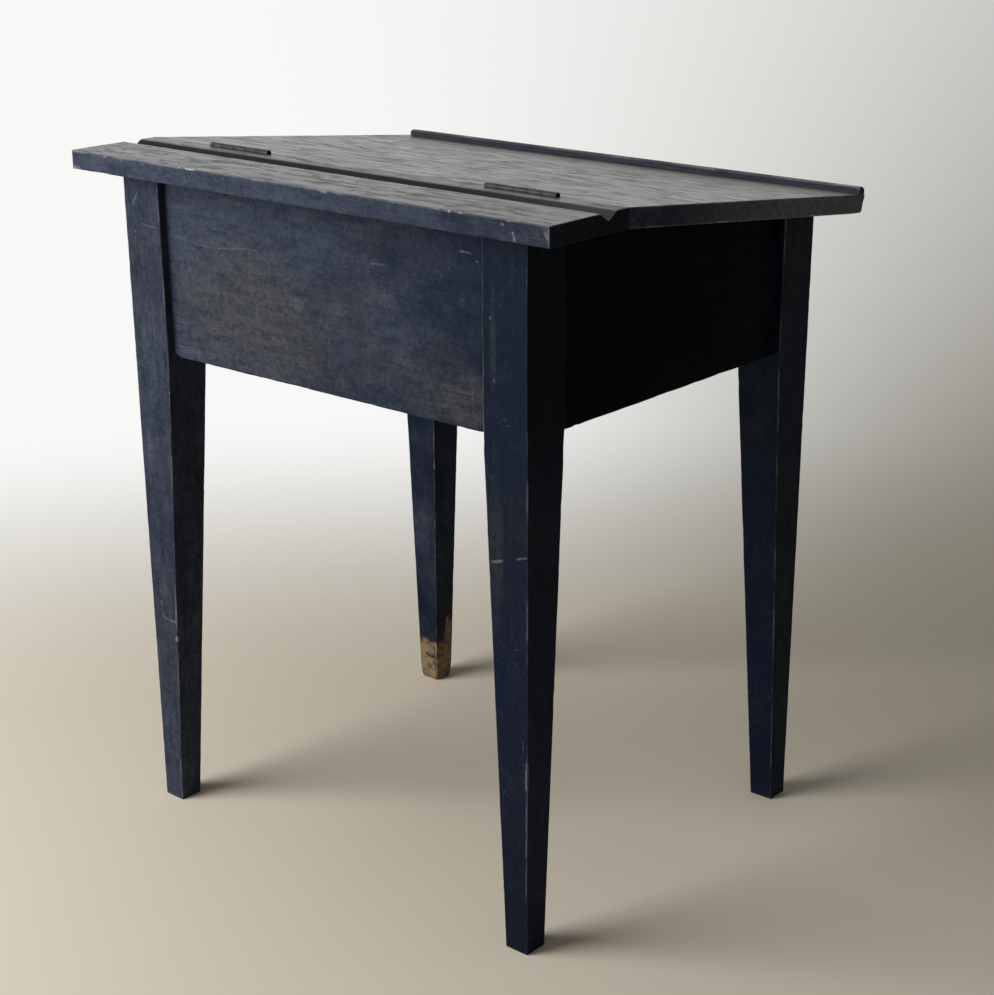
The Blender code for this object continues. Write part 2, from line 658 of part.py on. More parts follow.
def make_lip(lid_axis):
    """The lip on the lid's low edge, rounded along its top and over its ends."""
    back = LID_LENGTH - LIP_DEPTH
    left = LIP_END_SPACES["left"] - WIDTH / 2
    right = WIDTH / 2 - LIP_END_SPACES["right"]
    section = [
        (*lid_point(back, FIT_GAP), 0),
        (*lid_point(back, LIP_HEIGHT), LIP_BACK_EASE),
        (*lid_point(LID_LENGTH, LIP_HEIGHT), LIP_FRONT_EASE),
        (*lid_point(LID_LENGTH, FIT_GAP), 0),
    ]
    mesh = prism_mesh("lid_lip", rounded_outline(section), right - left)
    place = lid_axis.location + Vector(((left + right) / 2, 0, 0))
    lip = add_part("lid_lip", mesh, PAINT, place, PROFILE_ALONG_X, lid_axis)
    ends = rounded_outline(
        [
            (left, -CUT_MARGIN, 0),
            (right, -CUT_MARGIN, 0),
            (right, LIP_HEIGHT, LIP_END_ROUNDS["right"]),
            (left, LIP_HEIGHT, LIP_END_ROUNDS["left"]),
        ]
    )
    rounding = add_cutter(
        "lip_end_rounding",
        prism_mesh("lip_end_rounding", ends, LIP_DEPTH + 2 * CUT_MARGIN),
        lid_place(0, LID_LENGTH - LIP_DEPTH / 2, 0),
        (PROFILE_ALONG_Y[0] + LID_SLOPE, 0, 0),
    )
    combine(lip, rounding, "INTERSECT")


def make_battens(planks, lid_axis):
    """Battens across the planks inside the box, with a screw up into each plank."""
    screw_length = BATTEN_THICKNESS + FIT_GAP + BATTEN_SCREW_BITE
    screw = screw_mesh("batten_screw", screw_length)
    hole = turned_mesh("batten_screw_hole", screw_hole_profile(screw_length))
    front = (AXIS_Y - BOX_FRONT_Y - BATTEN_FRONT_SPACE) / math.cos(LID_SLOPE)
    length = front - BATTEN_BACK_SPACE
    above = -BOARD_THICKNESS - FIT_GAP - BATTEN_THICKNESS / 2
    for side, sign in SIDES.items():
        x = sign * (WIDTH / 2 - BATTEN_INSET - BATTEN_WIDTH / 2)
        name = f"lid_batten_{side}"
        batten = add_part(
            name,
            box_mesh(name, (BATTEN_WIDTH, length, BATTEN_THICKNESS)),
            PINE,
            lid_place(x, (front + BATTEN_BACK_SPACE) / 2, above),
            (LID_SLOPE, 0, 0),
            lid_axis,
        )
        ease_edges(batten, BATTEN_EASE)
        seat = above - BATTEN_THICKNESS / 2 + SCREW_SINK
        for number, (start, end) in enumerate(plank_edges()):
            along = (max(start, BATTEN_BACK_SPACE) + min(end, front)) / 2
            place = lid_place(x, along, seat)
            cutter = add_cutter(f"{name}_hole_{number + 1}", hole, place, HEAD_UNDER_LID)
            combine(batten, cutter, "DIFFERENCE")
            combine(planks[number], cutter, "DIFFERENCE")
            add_part(f"batten_screw_{side}_{number + 1}", screw, IRON, place, HEAD_UNDER_LID, lid_axis)


def main():
    legs = {
        (end, side): make_leg(f"leg_{end}_{side}", side_sign, end_sign)
        for end, end_sign in ENDS.items()
        for side, side_sign in SIDES.items()
    }
    panels = {}
    for end, sign in ENDS.items():
        panels[end] = make_cross_panel(f"panel_{end}", sign, [legs[end, side] for side in SIDES])
    for side, sign in SIDES.items():
        panels[side] = make_side_panel(f"panel_{side}", sign, [legs[end, side] for end in ENDS])

    make_floor()
    nail_length = CLEAT_SIZE + 2 * FIT_GAP + NAIL_BITE
    nail = turned_mesh("cleat_nail", nail_profile(nail_length))
    nail_hole = turned_mesh("cleat_nail_hole", nail_hole_profile(nail_length))
    for place, panel in panels.items():
        make_cleat(place, panel, nail, nail_hole)

    lid_axis = bpy.data.objects.new("lid_hinge_axis", None)
    lid_axis.location = (0, AXIS_Y, AXIS_Z)
    DESK.objects.link(lid_axis)

    screw_hole = turned_mesh("hinge_screw_hole", screw_hole_profile(HINGE_SCREW_LENGTH))
    recess = recess_mesh(screw_hole)
    recesses = [add_cutter(f"hinge_recess_{side}", recess, place) for side, place in hinge_places().items()]
    make_pen_board(recesses)
    make_corner_blocks()
    planks = make_lid_planks(lid_axis)
    for recess_cutter in recesses:
        combine(planks[0], recess_cutter, "DIFFERENCE")
    make_lip(lid_axis)
    make_battens(planks, lid_axis)
    make_hinges(screw_hole, lid_axis)


main()
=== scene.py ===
"""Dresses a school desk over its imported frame: worn paint, bare pine, iron hinges and a plain stage."""

import json
import math

import bmesh
import bpy
from bpy.props import FloatProperty, FloatVectorProperty, PointerProperty
from bpy.types import Operator, Panel, PropertyGroup
from mathutils import Matrix, Vector, noise


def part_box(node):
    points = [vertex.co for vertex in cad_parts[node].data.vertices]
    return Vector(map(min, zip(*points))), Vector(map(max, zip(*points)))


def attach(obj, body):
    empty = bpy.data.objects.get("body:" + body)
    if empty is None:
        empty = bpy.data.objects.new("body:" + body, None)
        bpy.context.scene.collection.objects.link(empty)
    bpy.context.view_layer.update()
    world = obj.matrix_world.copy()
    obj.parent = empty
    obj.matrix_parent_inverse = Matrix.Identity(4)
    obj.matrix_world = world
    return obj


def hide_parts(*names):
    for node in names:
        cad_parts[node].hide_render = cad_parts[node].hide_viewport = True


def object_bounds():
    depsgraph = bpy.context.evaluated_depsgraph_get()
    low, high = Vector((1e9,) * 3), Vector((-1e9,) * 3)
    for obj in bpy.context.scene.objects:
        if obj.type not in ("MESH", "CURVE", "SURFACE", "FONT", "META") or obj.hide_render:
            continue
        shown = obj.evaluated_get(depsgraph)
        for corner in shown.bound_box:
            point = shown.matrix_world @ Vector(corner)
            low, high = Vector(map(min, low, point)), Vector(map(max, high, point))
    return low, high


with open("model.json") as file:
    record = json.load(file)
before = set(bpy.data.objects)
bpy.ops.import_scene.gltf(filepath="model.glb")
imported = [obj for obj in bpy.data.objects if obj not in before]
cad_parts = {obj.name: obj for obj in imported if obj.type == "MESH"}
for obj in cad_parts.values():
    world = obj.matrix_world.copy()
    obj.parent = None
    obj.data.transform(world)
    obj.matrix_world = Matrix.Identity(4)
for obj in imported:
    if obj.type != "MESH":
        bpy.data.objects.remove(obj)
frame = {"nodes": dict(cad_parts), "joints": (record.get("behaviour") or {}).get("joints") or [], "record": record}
CAD_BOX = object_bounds()

bl_info = {
    "name": "Worn School Desk",
    "version": (1, 0, 0),
    "blender": (4, 5, 0),
    "location": "View3D > Sidebar > School Desk",
    "description": "Dresses a school desk's frame in worn paint, bare pine and iron, and sets its stage",
    "category": "Object",
}

CARCASS = "carcass"
LID_BODY = "lid"
PLANKS = ("lid_plank_back", "lid_plank_middle", "lid_plank_front")
SIDES = {"left": -1, "right": 1}
ENDS = {"front": -1, "back": 1}
X, Y, Z = range(3)
ORIGIN = (0.0, 0.0, 0.0)

# How finely the wooden blocks are cut: close to their edges, between them and in the groove. Some cuts just
# behind the groove are left out, and its section has other points further back.
EDGE_CUTS = (0.0004, 0.0009, 0.0016, 0.0026, 0.0042, 0.0070)
LONG_STEP = 0.0035
FACE_STEP = 0.0070
GROOVE_STEP = 0.0009
CUTS_LEFT_OUT = 3
BEHIND_GROOVE = 3 * FACE_STEP

# What counts as one point, as flat, as smooth, and as looking up, down or into the box
WELD_DISTANCE = 0.00001
FLAT_ANGLE = math.radians(1)
SMOOTH_ANGLE = math.radians(40)
LOOKS_UP = 0.5
LOOKS_ALONG = 0.8

# Clearances that the frame is drawn to: between pieces, and from a hinge's axis to the wood behind a leaf
FIT_GAP = 0.0003
LEAF_SEAT = 0.0019

# Sizes for the hinges' recesses and for eased edges
COVE_GAP = 0.0005
CUT_MARGIN = 0.002
BARREL_SIDES = 64
LEAF_EASE = 0.00012
EASE_SEGMENTS = 2

# Rounding of the lip's front and right end, and of the back panel's worn lower corner
LIP_NOSE = 0.0062
LIP_END = 0.0050
WORN_CORNER = 0.009

# Painted border under the boards, and the share of the groove's width, at its front, that keeps the top's paint;
# the rest of the groove is painted into shade
PAINTED_BORDER = 0.055
GROOVE_LIT = 0.08

# Uneven edges: fineness and start of their waves, ripples and tears, and how much each of these counts
WAVE = 38.0
RIPPLE = 150.0
RIPPLE_START = Vector((7.3, 1.9, 4.1))
TEAR = 24.0
TEAR_START = Vector((2.7, 9.1, 5.3))
TEAR_FROM = 0.27
WAVE_SHARE = 0.45
RIPPLE_SHARE = 0.25
TEAR_RIPPLE = 0.35
TEAR_ROUNDING = 2.2
TEAR_CHIPPING = 2.6
HOLLOW_WAVE = 14.0
HOLLOW_MARGIN = 0.006
FOOT_WEAR_HEIGHT = 4.0

# Attributes kept on the wooden pieces: distance to the nearest worn edge, and how far a point is chipped
EDGE_SPACE = "edge_space"
CHIPPED = "chipped"


def plank_slope():
    """Slope of the lid, from the largest face of its middle plank."""
    largest = max(frame["nodes"]["lid_plank_middle"].data.polygons, key=lambda face: face.area)
    return math.atan2(abs(largest.normal.y), abs(largest.normal.z))


LEFT_END = CAD_BOX[0].x
RIGHT_END = CAD_BOX[1].x
PEN_LOW, PEN_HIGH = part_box("pen_board")
HINGE_AXIS = Vector(frame["joints"][0]["pos_m"])
LID_SLOPE = plank_slope()
LID_PLACE = Matrix.Translation((0, HINGE_AXIS.y, PEN_HIGH.z)) @ Matrix.Rotation(LID_SLOPE, 4, "X")
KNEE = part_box("panel_back")[0].z


def lid_box(*nodes):
    """Lowest and highest corner of nodes in the lid's own frame: level with its top, from the hinge."""
    back = LID_PLACE.inverted()
    points = [back @ vert.co for node in nodes for vert in frame["nodes"][node].data.vertices]
    low = Vector(min(point[axis] for point in points) for axis in range(3))
    high = Vector(max(point[axis] for point in points) for axis in range(3))
    return low, high


LID_LOW, LID_HIGH = lid_box(*PLANKS)


def seat_height(y):
    """Top of the legs and panels at a depth: level under the pen board and sloping under the lid."""
    below = LID_LOW.z - FIT_GAP
    along = (y - HINGE_AXIS.y + below * math.sin(LID_SLOPE)) / math.cos(LID_SLOPE)
    under_lid = PEN_HIGH.z + along * math.sin(LID_SLOPE) + below * math.cos(LID_SLOPE)
    return min(PEN_LOW.z - FIT_GAP, under_lid)


def color_setting(name, description, default):
    """Property for a colour."""
    return FloatVectorProperty(name=name, description=description, subtype="COLOR", default=default)


def length_setting(name, description, default):
    """Property for a length."""
    return FloatProperty(name=name, description=description, unit="LENGTH", default=default, min=0.0)


def share_setting(name, description, default):
    """Property for a share from 0 to 1."""
    return FloatProperty(
        name=name, description=description, subtype="FACTOR", default=default, min=0.0, max=1.0
    )


def power_setting(name, description, default):
    """Property for a light's power."""
    return FloatProperty(name=name, description=description, unit="POWER", default=default, min=0.0)


def place_setting(name, description, default):
    """Property for a place."""
    return FloatVectorProperty(
        name=name, description=description, subtype="TRANSLATION", unit="LENGTH", default=default
    )


class DeskPaint(PropertyGroup):
    """Colours of the old paint and of what shows through it."""

    deep: color_setting("Deep paint", "Paint in sheltered places", (0.0040, 0.0078, 0.0212))
    teal: color_setting("Greenish paint", "Deep paint gone green", (0.0042, 0.0092, 0.0150))
    slate: color_setting("Slate paint", "Paint gone dull", (0.044, 0.054, 0.083))
    olive: color_setting("Polished paint", "Paint under hands and sleeves", (0.079, 0.077, 0.061))
    grime: color_setting("Grime", "Grey-brown handling marks", (0.068, 0.064, 0.060))
    rubbed: color_setting("Rubbed paint", "Paint rubbed thin over the grain", (0.100, 0.108, 0.130))
    edge: color_setting("Rubbed edge", "Edges worn pale", (0.21, 0.21, 0.22))
    bare: color_setting("Chipped edge", "Wood under a chip", (0.42, 0.38, 0.35))
    chalk: color_setting("Scratches", "Scratches and specks", (0.22, 0.23, 0.26))
    # Near-black: in the pen groove it is painted shade, in the foot's cracks it is dark dirt
    soot_and_groove_shade: color_setting("Dirt", "Old ink and dust in the groove and in cracks", (0.0040, 0.0040, 0.0045))
    primer: color_setting("Primer", "Red ground where the paint breaks off", (0.085, 0.034, 0.032))
    sheen: color_setting("Sheen", "Tint of the gloss on handled paint", (1.0, 0.98, 0.92))
    # Blue gloss tint on unpolished paint: painted cool light that makes shaded sides bluer
    gloss_cool_light: color_setting("Bloom", "Tint of the gloss on paint left alone", (0.42, 0.66, 1.0))
    roughness: share_setting("Roughness", "Dullness of the paint", 0.44)


class DeskWood(PropertyGroup):
    """Colours of the bare pine."""

    pale: color_setting("Pale pine", "Soft early wood", (0.36, 0.22, 0.11))
    dark: color_setting("Dark pine", "Late wood and old oil", (0.17, 0.09, 0.042))
    dirt: color_setting("Dirt", "Dirt in the grain", (0.055, 0.040, 0.030))
    worn: color_setting("Worn foot", "Bare wood gone grey on a foot", (0.30, 0.225, 0.14))


class DeskIron(PropertyGroup):
    """Colours of the hinges and their fasteners."""

    iron: color_setting("Iron", "Dark handled iron", (0.030, 0.030, 0.031))
    rust: color_setting("Rust", "Old dark rust", (0.020, 0.0195, 0.018))
    bright: color_setting("Bright iron", "Iron polished by wear", (0.075, 0.075, 0.077))


class DeskWear(PropertyGroup):
    """How far the wood has worn."""

    edge: length_setting("Edges", "Rounding of worn edges", 0.0014)
    chip: length_setting("Chips", "Extra rounding where an edge is chipped", 0.0022)
    joint: length_setting("Joints", "Rounding of edges inside the desk", 0.0010)
    uneven: length_setting("Unevenness", "Hollows left by the plane", 0.0002)
    foot: length_setting("Worn foot", "Rounding of the bare foot", 0.0060)


class DeskStage(PropertyGroup):
    """Camera, light and floor."""

    camera: place_setting("Camera", "Place of the camera", (-1.40458, 1.58783, 1.09766))
    turn: FloatVectorProperty(
        name="Turn", description="Turn of the camera", subtype="EULER", unit="ROTATION",
        default=[math.radians(angle) for angle in (68.7048, 0.3581, -139.1286)],
    )
    lens: FloatProperty(
        name="Lens", description="Focal length in millimetres", subtype="DISTANCE_CAMERA", default=71.967
    )
    shift: FloatVectorProperty(
        name="Shift", description="Shift of the picture", size=2, default=(0.01082, 0.0840)
    )
    floor: color_setting("Floor", "Colour of the floor", (0.83, 0.755, 0.62))
    backdrop: color_setting("Backdrop", "Colour behind the desk", (0.94, 0.94, 0.93))
    shade: color_setting("Shaded backdrop", "Colour away from the light", (0.23, 0.215, 0.175))
    shade_side: FloatVectorProperty(
        name="Shaded side", description="Direction away from the light", subtype="DIRECTION",
        default=(-0.75, -0.66, 0.0),
    )
    ambient: share_setting("Ambient", "Soft light from all round", 0.06)
    key: power_setting("Key light", "Power of the soft window light", 57.0)
    ceiling: power_setting("Ceiling light", "Power of the broad light above", 20.0)
    fade_start: length_setting("Fade start", "Where the floor starts to run into the backdrop", 1.05)
    fade_end: length_setting("Fade end", "Where only the backdrop is seen", 2.3)
    fade_centre: place_setting("Fade centre", "Middle of the floor that shows", (-0.45, 0.52, 0.0))


class NodeTree:
    """Adds shader nodes to one tree. A value given to an input is a constant or another node's output."""

    def __init__(self, tree):
        self.tree = tree

    def add(self, kind, inputs=None, **settings):
        node = self.tree.nodes.new(kind)
        for key, value in settings.items():
            setattr(node, key, value)
        for key, value in (inputs or {}).items():
            self.feed(node.inputs[key], value)
        return node

    def feed(self, socket, value):
        if isinstance(value, bpy.types.NodeSocket):
            self.tree.links.new(value, socket)
        else:
            socket.default_value = value

    def math(self, operation, first, second=0.0, clamp=False):
        inputs = {0: first, 1: second}
        return self.add("ShaderNodeMath", inputs, operation=operation, use_clamp=clamp).outputs[0]

    def times(self, first, *others):
        """Product of two or more values."""
        for other in others:
            first = self.math("MULTIPLY", first, other)
        return first

    def plus(self, first, second, clamp=False):
        return self.math("ADD", first, second, clamp)

    def minus(self, first, second):
        return self.math("SUBTRACT", first, second)

    def vector(self, operation, first, second=ORIGIN):
        node = self.add("ShaderNodeVectorMath", {0: first, 1: second}, operation=operation)
        return node.outputs["Value" if operation in ("DOT_PRODUCT", "LENGTH", "DISTANCE") else "Vector"]

    def noise(self, vector, scale, detail=2.0, roughness=0.5, distortion=0.0):
        inputs = {"Vector": vector, "Scale": scale, "Detail": detail}
        shape = {"Roughness": roughness, "Distortion": distortion}
        return self.add("ShaderNodeTexNoise", inputs | shape).outputs["Fac"]

    def step(self, value, low, high, start=0.0, end=1.0):
        """Smooth step of a value between two bounds, which may be outputs too."""
        inputs = {0: value, 1: low, 2: high, 3: start, 4: end}
        return self.add("ShaderNodeMapRange", inputs, interpolation_type="SMOOTHSTEP").outputs[0]

    def mask(self, vector, shape, bounds):
        """Smooth step of a noise of a given shape between its bounds."""
        return self.step(self.noise(vector, *shape), *bounds)

    def fall(self, value, low, high):
        """Smooth step down from one to nothing."""
        return self.step(value, low, high, 1.0, 0.0)

    def mix(self, factor, first, second):
        """Mix of two colours."""
        inputs = {0: factor, 6: first, 7: second}
        return self.mixer("RGBA", inputs).outputs[2]

    def blend(self, factor, first, second):
        """Mix of two numbers."""
        inputs = {0: factor, 2: first, 3: second}
        return self.mixer("FLOAT", inputs).outputs[0]

    def mixer(self, data_type, inputs):
        """A Mix node, whose inputs are fed once it knows its type."""
        node = self.add("ShaderNodeMix", data_type=data_type, clamp_factor=True)
        for place, value in inputs.items():
            self.feed(node.inputs[place], value)
        return node

    def group(self, name, inputs):
        """Outputs of a shared node group, which is made when it is first asked for."""
        tree = bpy.data.node_groups.get(name) or GROUP_MAKERS[name](name)
        node = self.add("ShaderNodeGroup", node_tree=tree)
        for key, value in inputs.items():
            self.feed(node.inputs[key], value)
        return node.outputs

    def attribute(self, name):
        return self.add("ShaderNodeAttribute", attribute_name=name).outputs["Fac"]

    def along(self, vector, axis):
        """Turns a vector so that its first part runs along the grain."""
        parts = self.add("ShaderNodeSeparateXYZ", {0: vector}).outputs
        turned = {place: parts[(axis + place) % 3] for place in range(3)}
        return self.add("ShaderNodeCombineXYZ", turned).outputs[0]


def opaque(color):
    return (*color, 1.0)


def new_group(name, inputs, outputs):
    """An empty shader node group: its tree, its nodes, the sockets that enter it and those that leave it."""
    tree = bpy.data.node_groups.new(name, "ShaderNodeTree")
    kinds = {float: "NodeSocketFloat", tuple: "NodeSocketVector"}
    for key, value in inputs.items():
        socket = tree.interface.new_socket(key, in_out="INPUT", socket_type=kinds[type(value)])
        socket.default_value = value
    for key in outputs:
        tree.interface.new_socket(key, in_out="OUTPUT", socket_type="NodeSocketFloat")
    nodes = NodeTree(tree)
    entry = nodes.add("NodeGroupInput").outputs
    leave = nodes.add("NodeGroupOutput").inputs
    return tree, nodes, entry, leave


# A noise's shape is its fineness, detail, roughness and twist. A mask is a shape and its two bounds, with the
# values there if they aren't 0 and 1. Wood's patterns start with how far each is drawn out along the grain.
NOISE_MEAN = 0.5
WOOD_PATTERNS = {
    "Fibre": (0.030, 620.0, 3.0, 0.6),
    "Band": (0.10, 9.0, 2.0, 0.40),
    "Streak": (0.09, 150.0, 4.0, 0.65),
    "Blotch": (0.28, 92.0, 6.0, 0.72, 0.4),
}
RINGS = 30.0
LATE_WOOD = (0.35, 0.90)
RING_END = (0.93, 1.0)


def wood_grain_group(name):
    """Fibres, growth bands, streaks and blotches, for a vector whose first part runs along the grain."""
    tree, nodes, entry, leave = new_group(name, {"Vector": ORIGIN}, WOOD_PATTERNS)
    for key, (stretch, *pattern) in WOOD_PATTERNS.items():
        drawn_out = nodes.vector("MULTIPLY", entry["Vector"], (stretch, 1.0, 1.0))
        tone = nodes.noise(drawn_out, *pattern)
        if key == "Band":
            rings = nodes.math("FRACT", nodes.times(tone, RINGS))
            tone = nodes.times(nodes.step(rings, *LATE_WOOD), nodes.fall(rings, *RING_END))
        nodes.feed(leave[key], tone)
    return tree


EDGE_RAGGED = (260.0, 4.0, 0.65)
EDGE_PATCHES = ((24.0, 3.0, 0.6), (0.42, 0.66))
RUB_GROWTH = 1.4
RUB_LEAST = 0.2
RUB_PATCHED = 0.8
RUB_UNPATCHED = 0.2
TORN_RAGGED = 1.1
TORN_RANGE = (0.42, 0.56)


def edge_wear_group(name):
    """Paint rubbed thin along edges, and the ragged bare spots of its chips."""
    inputs = {"Vector": ORIGIN, "Edge Space": 0.0, "Chipped": 0.0, "Width": 0.002}
    tree, nodes, entry, leave = new_group(name, inputs, ("Rubbed", "Chipped"))
    ragged = nodes.noise(entry["Vector"], *EDGE_RAGGED)
    patch = nodes.mask(entry["Vector"], *EDGE_PATCHES)
    reach = nodes.times(entry["Width"], nodes.plus(nodes.times(ragged, RUB_GROWTH), RUB_LEAST))
    rub = nodes.fall(entry["Edge Space"], 0.0, reach)
    kept = nodes.plus(nodes.times(patch, RUB_PATCHED), RUB_UNPATCHED)
    nodes.feed(leave["Rubbed"], nodes.times(rub, kept))
    torn = nodes.plus(entry["Chipped"], nodes.times(nodes.minus(ragged, NOISE_MEAN), TORN_RAGGED))
    nodes.feed(leave["Chipped"], nodes.step(torn, *TORN_RANGE))
    return tree


SWAY = (9.0, 2.0)
SWAY_SHARE = 0.15
SCRATCH_CELLS = 11.0
HAIRLINE = 0.008
SCRATCHED = ((16.0, 3.0, 0.7), (0.60, 0.72))
FLAKE = (340.0, 5.0, 0.75)
CROWD = (21.0, 3.0, 0.6)
CROWD_SHARE = 0.45
FLECK_EDGE = 0.05
SMUDGE = ((12.0, 5.0, 0.62, 0.6), (0.52, 0.78))
MOTTLE = (150.0, 6.0, 0.8)


def handling_group(name):
    """Hairline scratches, ragged flecks, cloudy smudges and a fine mottle from years of use."""
    inputs = {"Vector": ORIGIN, "Clean": 0.66}
    tree, nodes, entry, leave = new_group(name, inputs, ("Scratches", "Flecks", "Smudge", "Mottle"))
    place = entry["Vector"]
    sway = nodes.add("ShaderNodeVectorMath", {0: place}, operation="SCALE")
    nodes.feed(sway.inputs["Scale"], nodes.times(nodes.noise(place, *SWAY), SWAY_SHARE))
    swayed = nodes.vector("ADD", place, sway.outputs["Vector"])
    cells = {"Vector": swayed, "Scale": SCRATCH_CELLS}
    cell = nodes.add("ShaderNodeTexVoronoi", cells, feature="DISTANCE_TO_EDGE")
    line = nodes.fall(cell.outputs["Distance"], 0.0, HAIRLINE)
    some = nodes.mask(place, *SCRATCHED)
    nodes.feed(leave["Scratches"], nodes.times(line, some))
    crowd = nodes.minus(nodes.noise(place, *CROWD), NOISE_MEAN)
    torn = nodes.plus(nodes.noise(place, *FLAKE), nodes.times(crowd, CROWD_SHARE))
    nodes.feed(leave["Flecks"], nodes.step(torn, entry["Clean"], nodes.plus(entry["Clean"], FLECK_EDGE)))
    nodes.feed(leave["Smudge"], nodes.mask(place, *SMUDGE))
    nodes.feed(leave["Mottle"], nodes.noise(place, *MOTTLE))
    return tree


BACK_PLANE = (1.0, 0.0, 1.0)
SCRATCH_RAGGED = (320.0, 3.0, 0.6)
SCRATCH_LEAST = 0.4
SCRATCH_CORE = 0.4
SCRATCH_WHOLE = ((90.0, 2.0), (0.36, 0.52))
SCRATCH_BREAK_SHOWN = 0.25
SCRATCH_START = (0.0, 0.08)
SCRATCH_END = (0.92, 1.0)


def scratch_group(name):
    """One scratch from a point to another, bowed to one side in the plane of the back panel."""
    inputs = {"Vector": ORIGIN, "From": ORIGIN, "To": (1.0, 0.0, 0.0), "Bow": 0.0, "Width": 0.0006}
    tree, nodes, entry, leave = new_group(name, inputs, ("Mask",))
    start = nodes.vector("MULTIPLY", entry["From"], BACK_PLANE)
    run = nodes.vector("SUBTRACT", nodes.vector("MULTIPLY", entry["To"], BACK_PLANE), start)
    here = nodes.vector("SUBTRACT", nodes.vector("MULTIPLY", entry["Vector"], BACK_PLANE), start)
    length = nodes.vector("LENGTH", run)
    share = nodes.math("DIVIDE", nodes.vector("DOT_PRODUCT", here, run), nodes.times(length, length))
    side = nodes.vector("CROSS_PRODUCT", run, (0.0, 1.0, 0.0))
    off = nodes.math("DIVIDE", nodes.vector("DOT_PRODUCT", here, side), length)
    arch = nodes.times(share, nodes.minus(1.0, share), 4.0)
    away = nodes.math("ABSOLUTE", nodes.minus(off, nodes.times(arch, entry["Bow"])))
    ragged = nodes.noise(entry["Vector"], *SCRATCH_RAGGED)
    width = nodes.times(entry["Width"], nodes.plus(ragged, SCRATCH_LEAST))
    line = nodes.fall(away, nodes.times(width, SCRATCH_CORE), width)
    begun = nodes.step(share, *SCRATCH_START)
    ended = nodes.fall(share, *SCRATCH_END)
    whole = nodes.mask(entry["Vector"], *SCRATCH_WHOLE)
    shown = nodes.plus(whole, SCRATCH_BREAK_SHOWN, clamp=True)
    nodes.feed(leave["Mask"], nodes.times(line, begun, ended, shown))
    return tree


STAIN_CLOUD = (34.0, 5.0, 0.65)
STAIN_CLOUD_SHARE = 1.6
STAIN_RANGE = (0.35, 1.05)


def stain_group(name):
    """One cloudy stain about a point, with the given reach along each axis."""
    inputs = {"Vector": ORIGIN, "Centre": ORIGIN, "Reach": (1.0, 1.0, 1.0)}
    tree, nodes, entry, leave = new_group(name, inputs, ("Mask",))
    off = nodes.vector("DIVIDE", nodes.vector("SUBTRACT", entry["Vector"], entry["Centre"]), entry["Reach"])
    cloudy = nodes.minus(nodes.noise(entry["Vector"], *STAIN_CLOUD), NOISE_MEAN)
    away = nodes.plus(nodes.vector("LENGTH", off), nodes.times(cloudy, STAIN_CLOUD_SHARE))
    nodes.feed(leave["Mask"], nodes.fall(away, *STAIN_RANGE))
    return tree


GROUP_MAKERS = {
    "wood_grain": wood_grain_group,
    "edge_wear": edge_wear_group,
    "handling_marks": handling_group,
    "one_scratch": scratch_group,
    "one_stain": stain_group,
}

BUMP_DEPTH = 0.0003


class Finish:
    """A surface built up in layers of colour, dullness and relief. Wood has an axis for its grain."""

    def __init__(self, name, grain=None):
        self.material = bpy.data.materials.new(name)
        self.material.use_nodes = True
        self.nodes = NodeTree(self.material.node_tree)
        self.shader = self.material.node_tree.nodes["Principled BSDF"].inputs
        self.place = self.nodes.add("ShaderNodeTexCoord").outputs["Object"]
        self.wood = None
        self.color = None
        self.dull = None
        self.relief = None
        if grain is not None:
            self.wood = self.nodes.group("wood_grain", {"Vector": self.nodes.along(self.place, grain)})

    def part(self, axis):
        """Place along one axis."""
        return self.nodes.add("ShaderNodeSeparateXYZ", {0: self.place}).outputs[axis]

    def cover(self, mask, color, strength=1.0):
        """Lays a colour over the surface where a mask lets it show."""
        self.color = self.nodes.mix(self.nodes.times(mask, strength), self.color, opaque(color))

    def close(self, bump, depth=BUMP_DEPTH):
        """Feeds the layers to the shader, with a strength and a depth of bump."""
        inputs = {"Strength": bump, "Distance": depth, "Height": self.relief}
        self.nodes.feed(self.shader["Base Color"], self.color)
        self.nodes.feed(self.shader["Roughness"], self.dull)
        self.nodes.feed(self.shader["Normal"], self.nodes.add("ShaderNodeBump", inputs).outputs["Normal"])
        return self.material


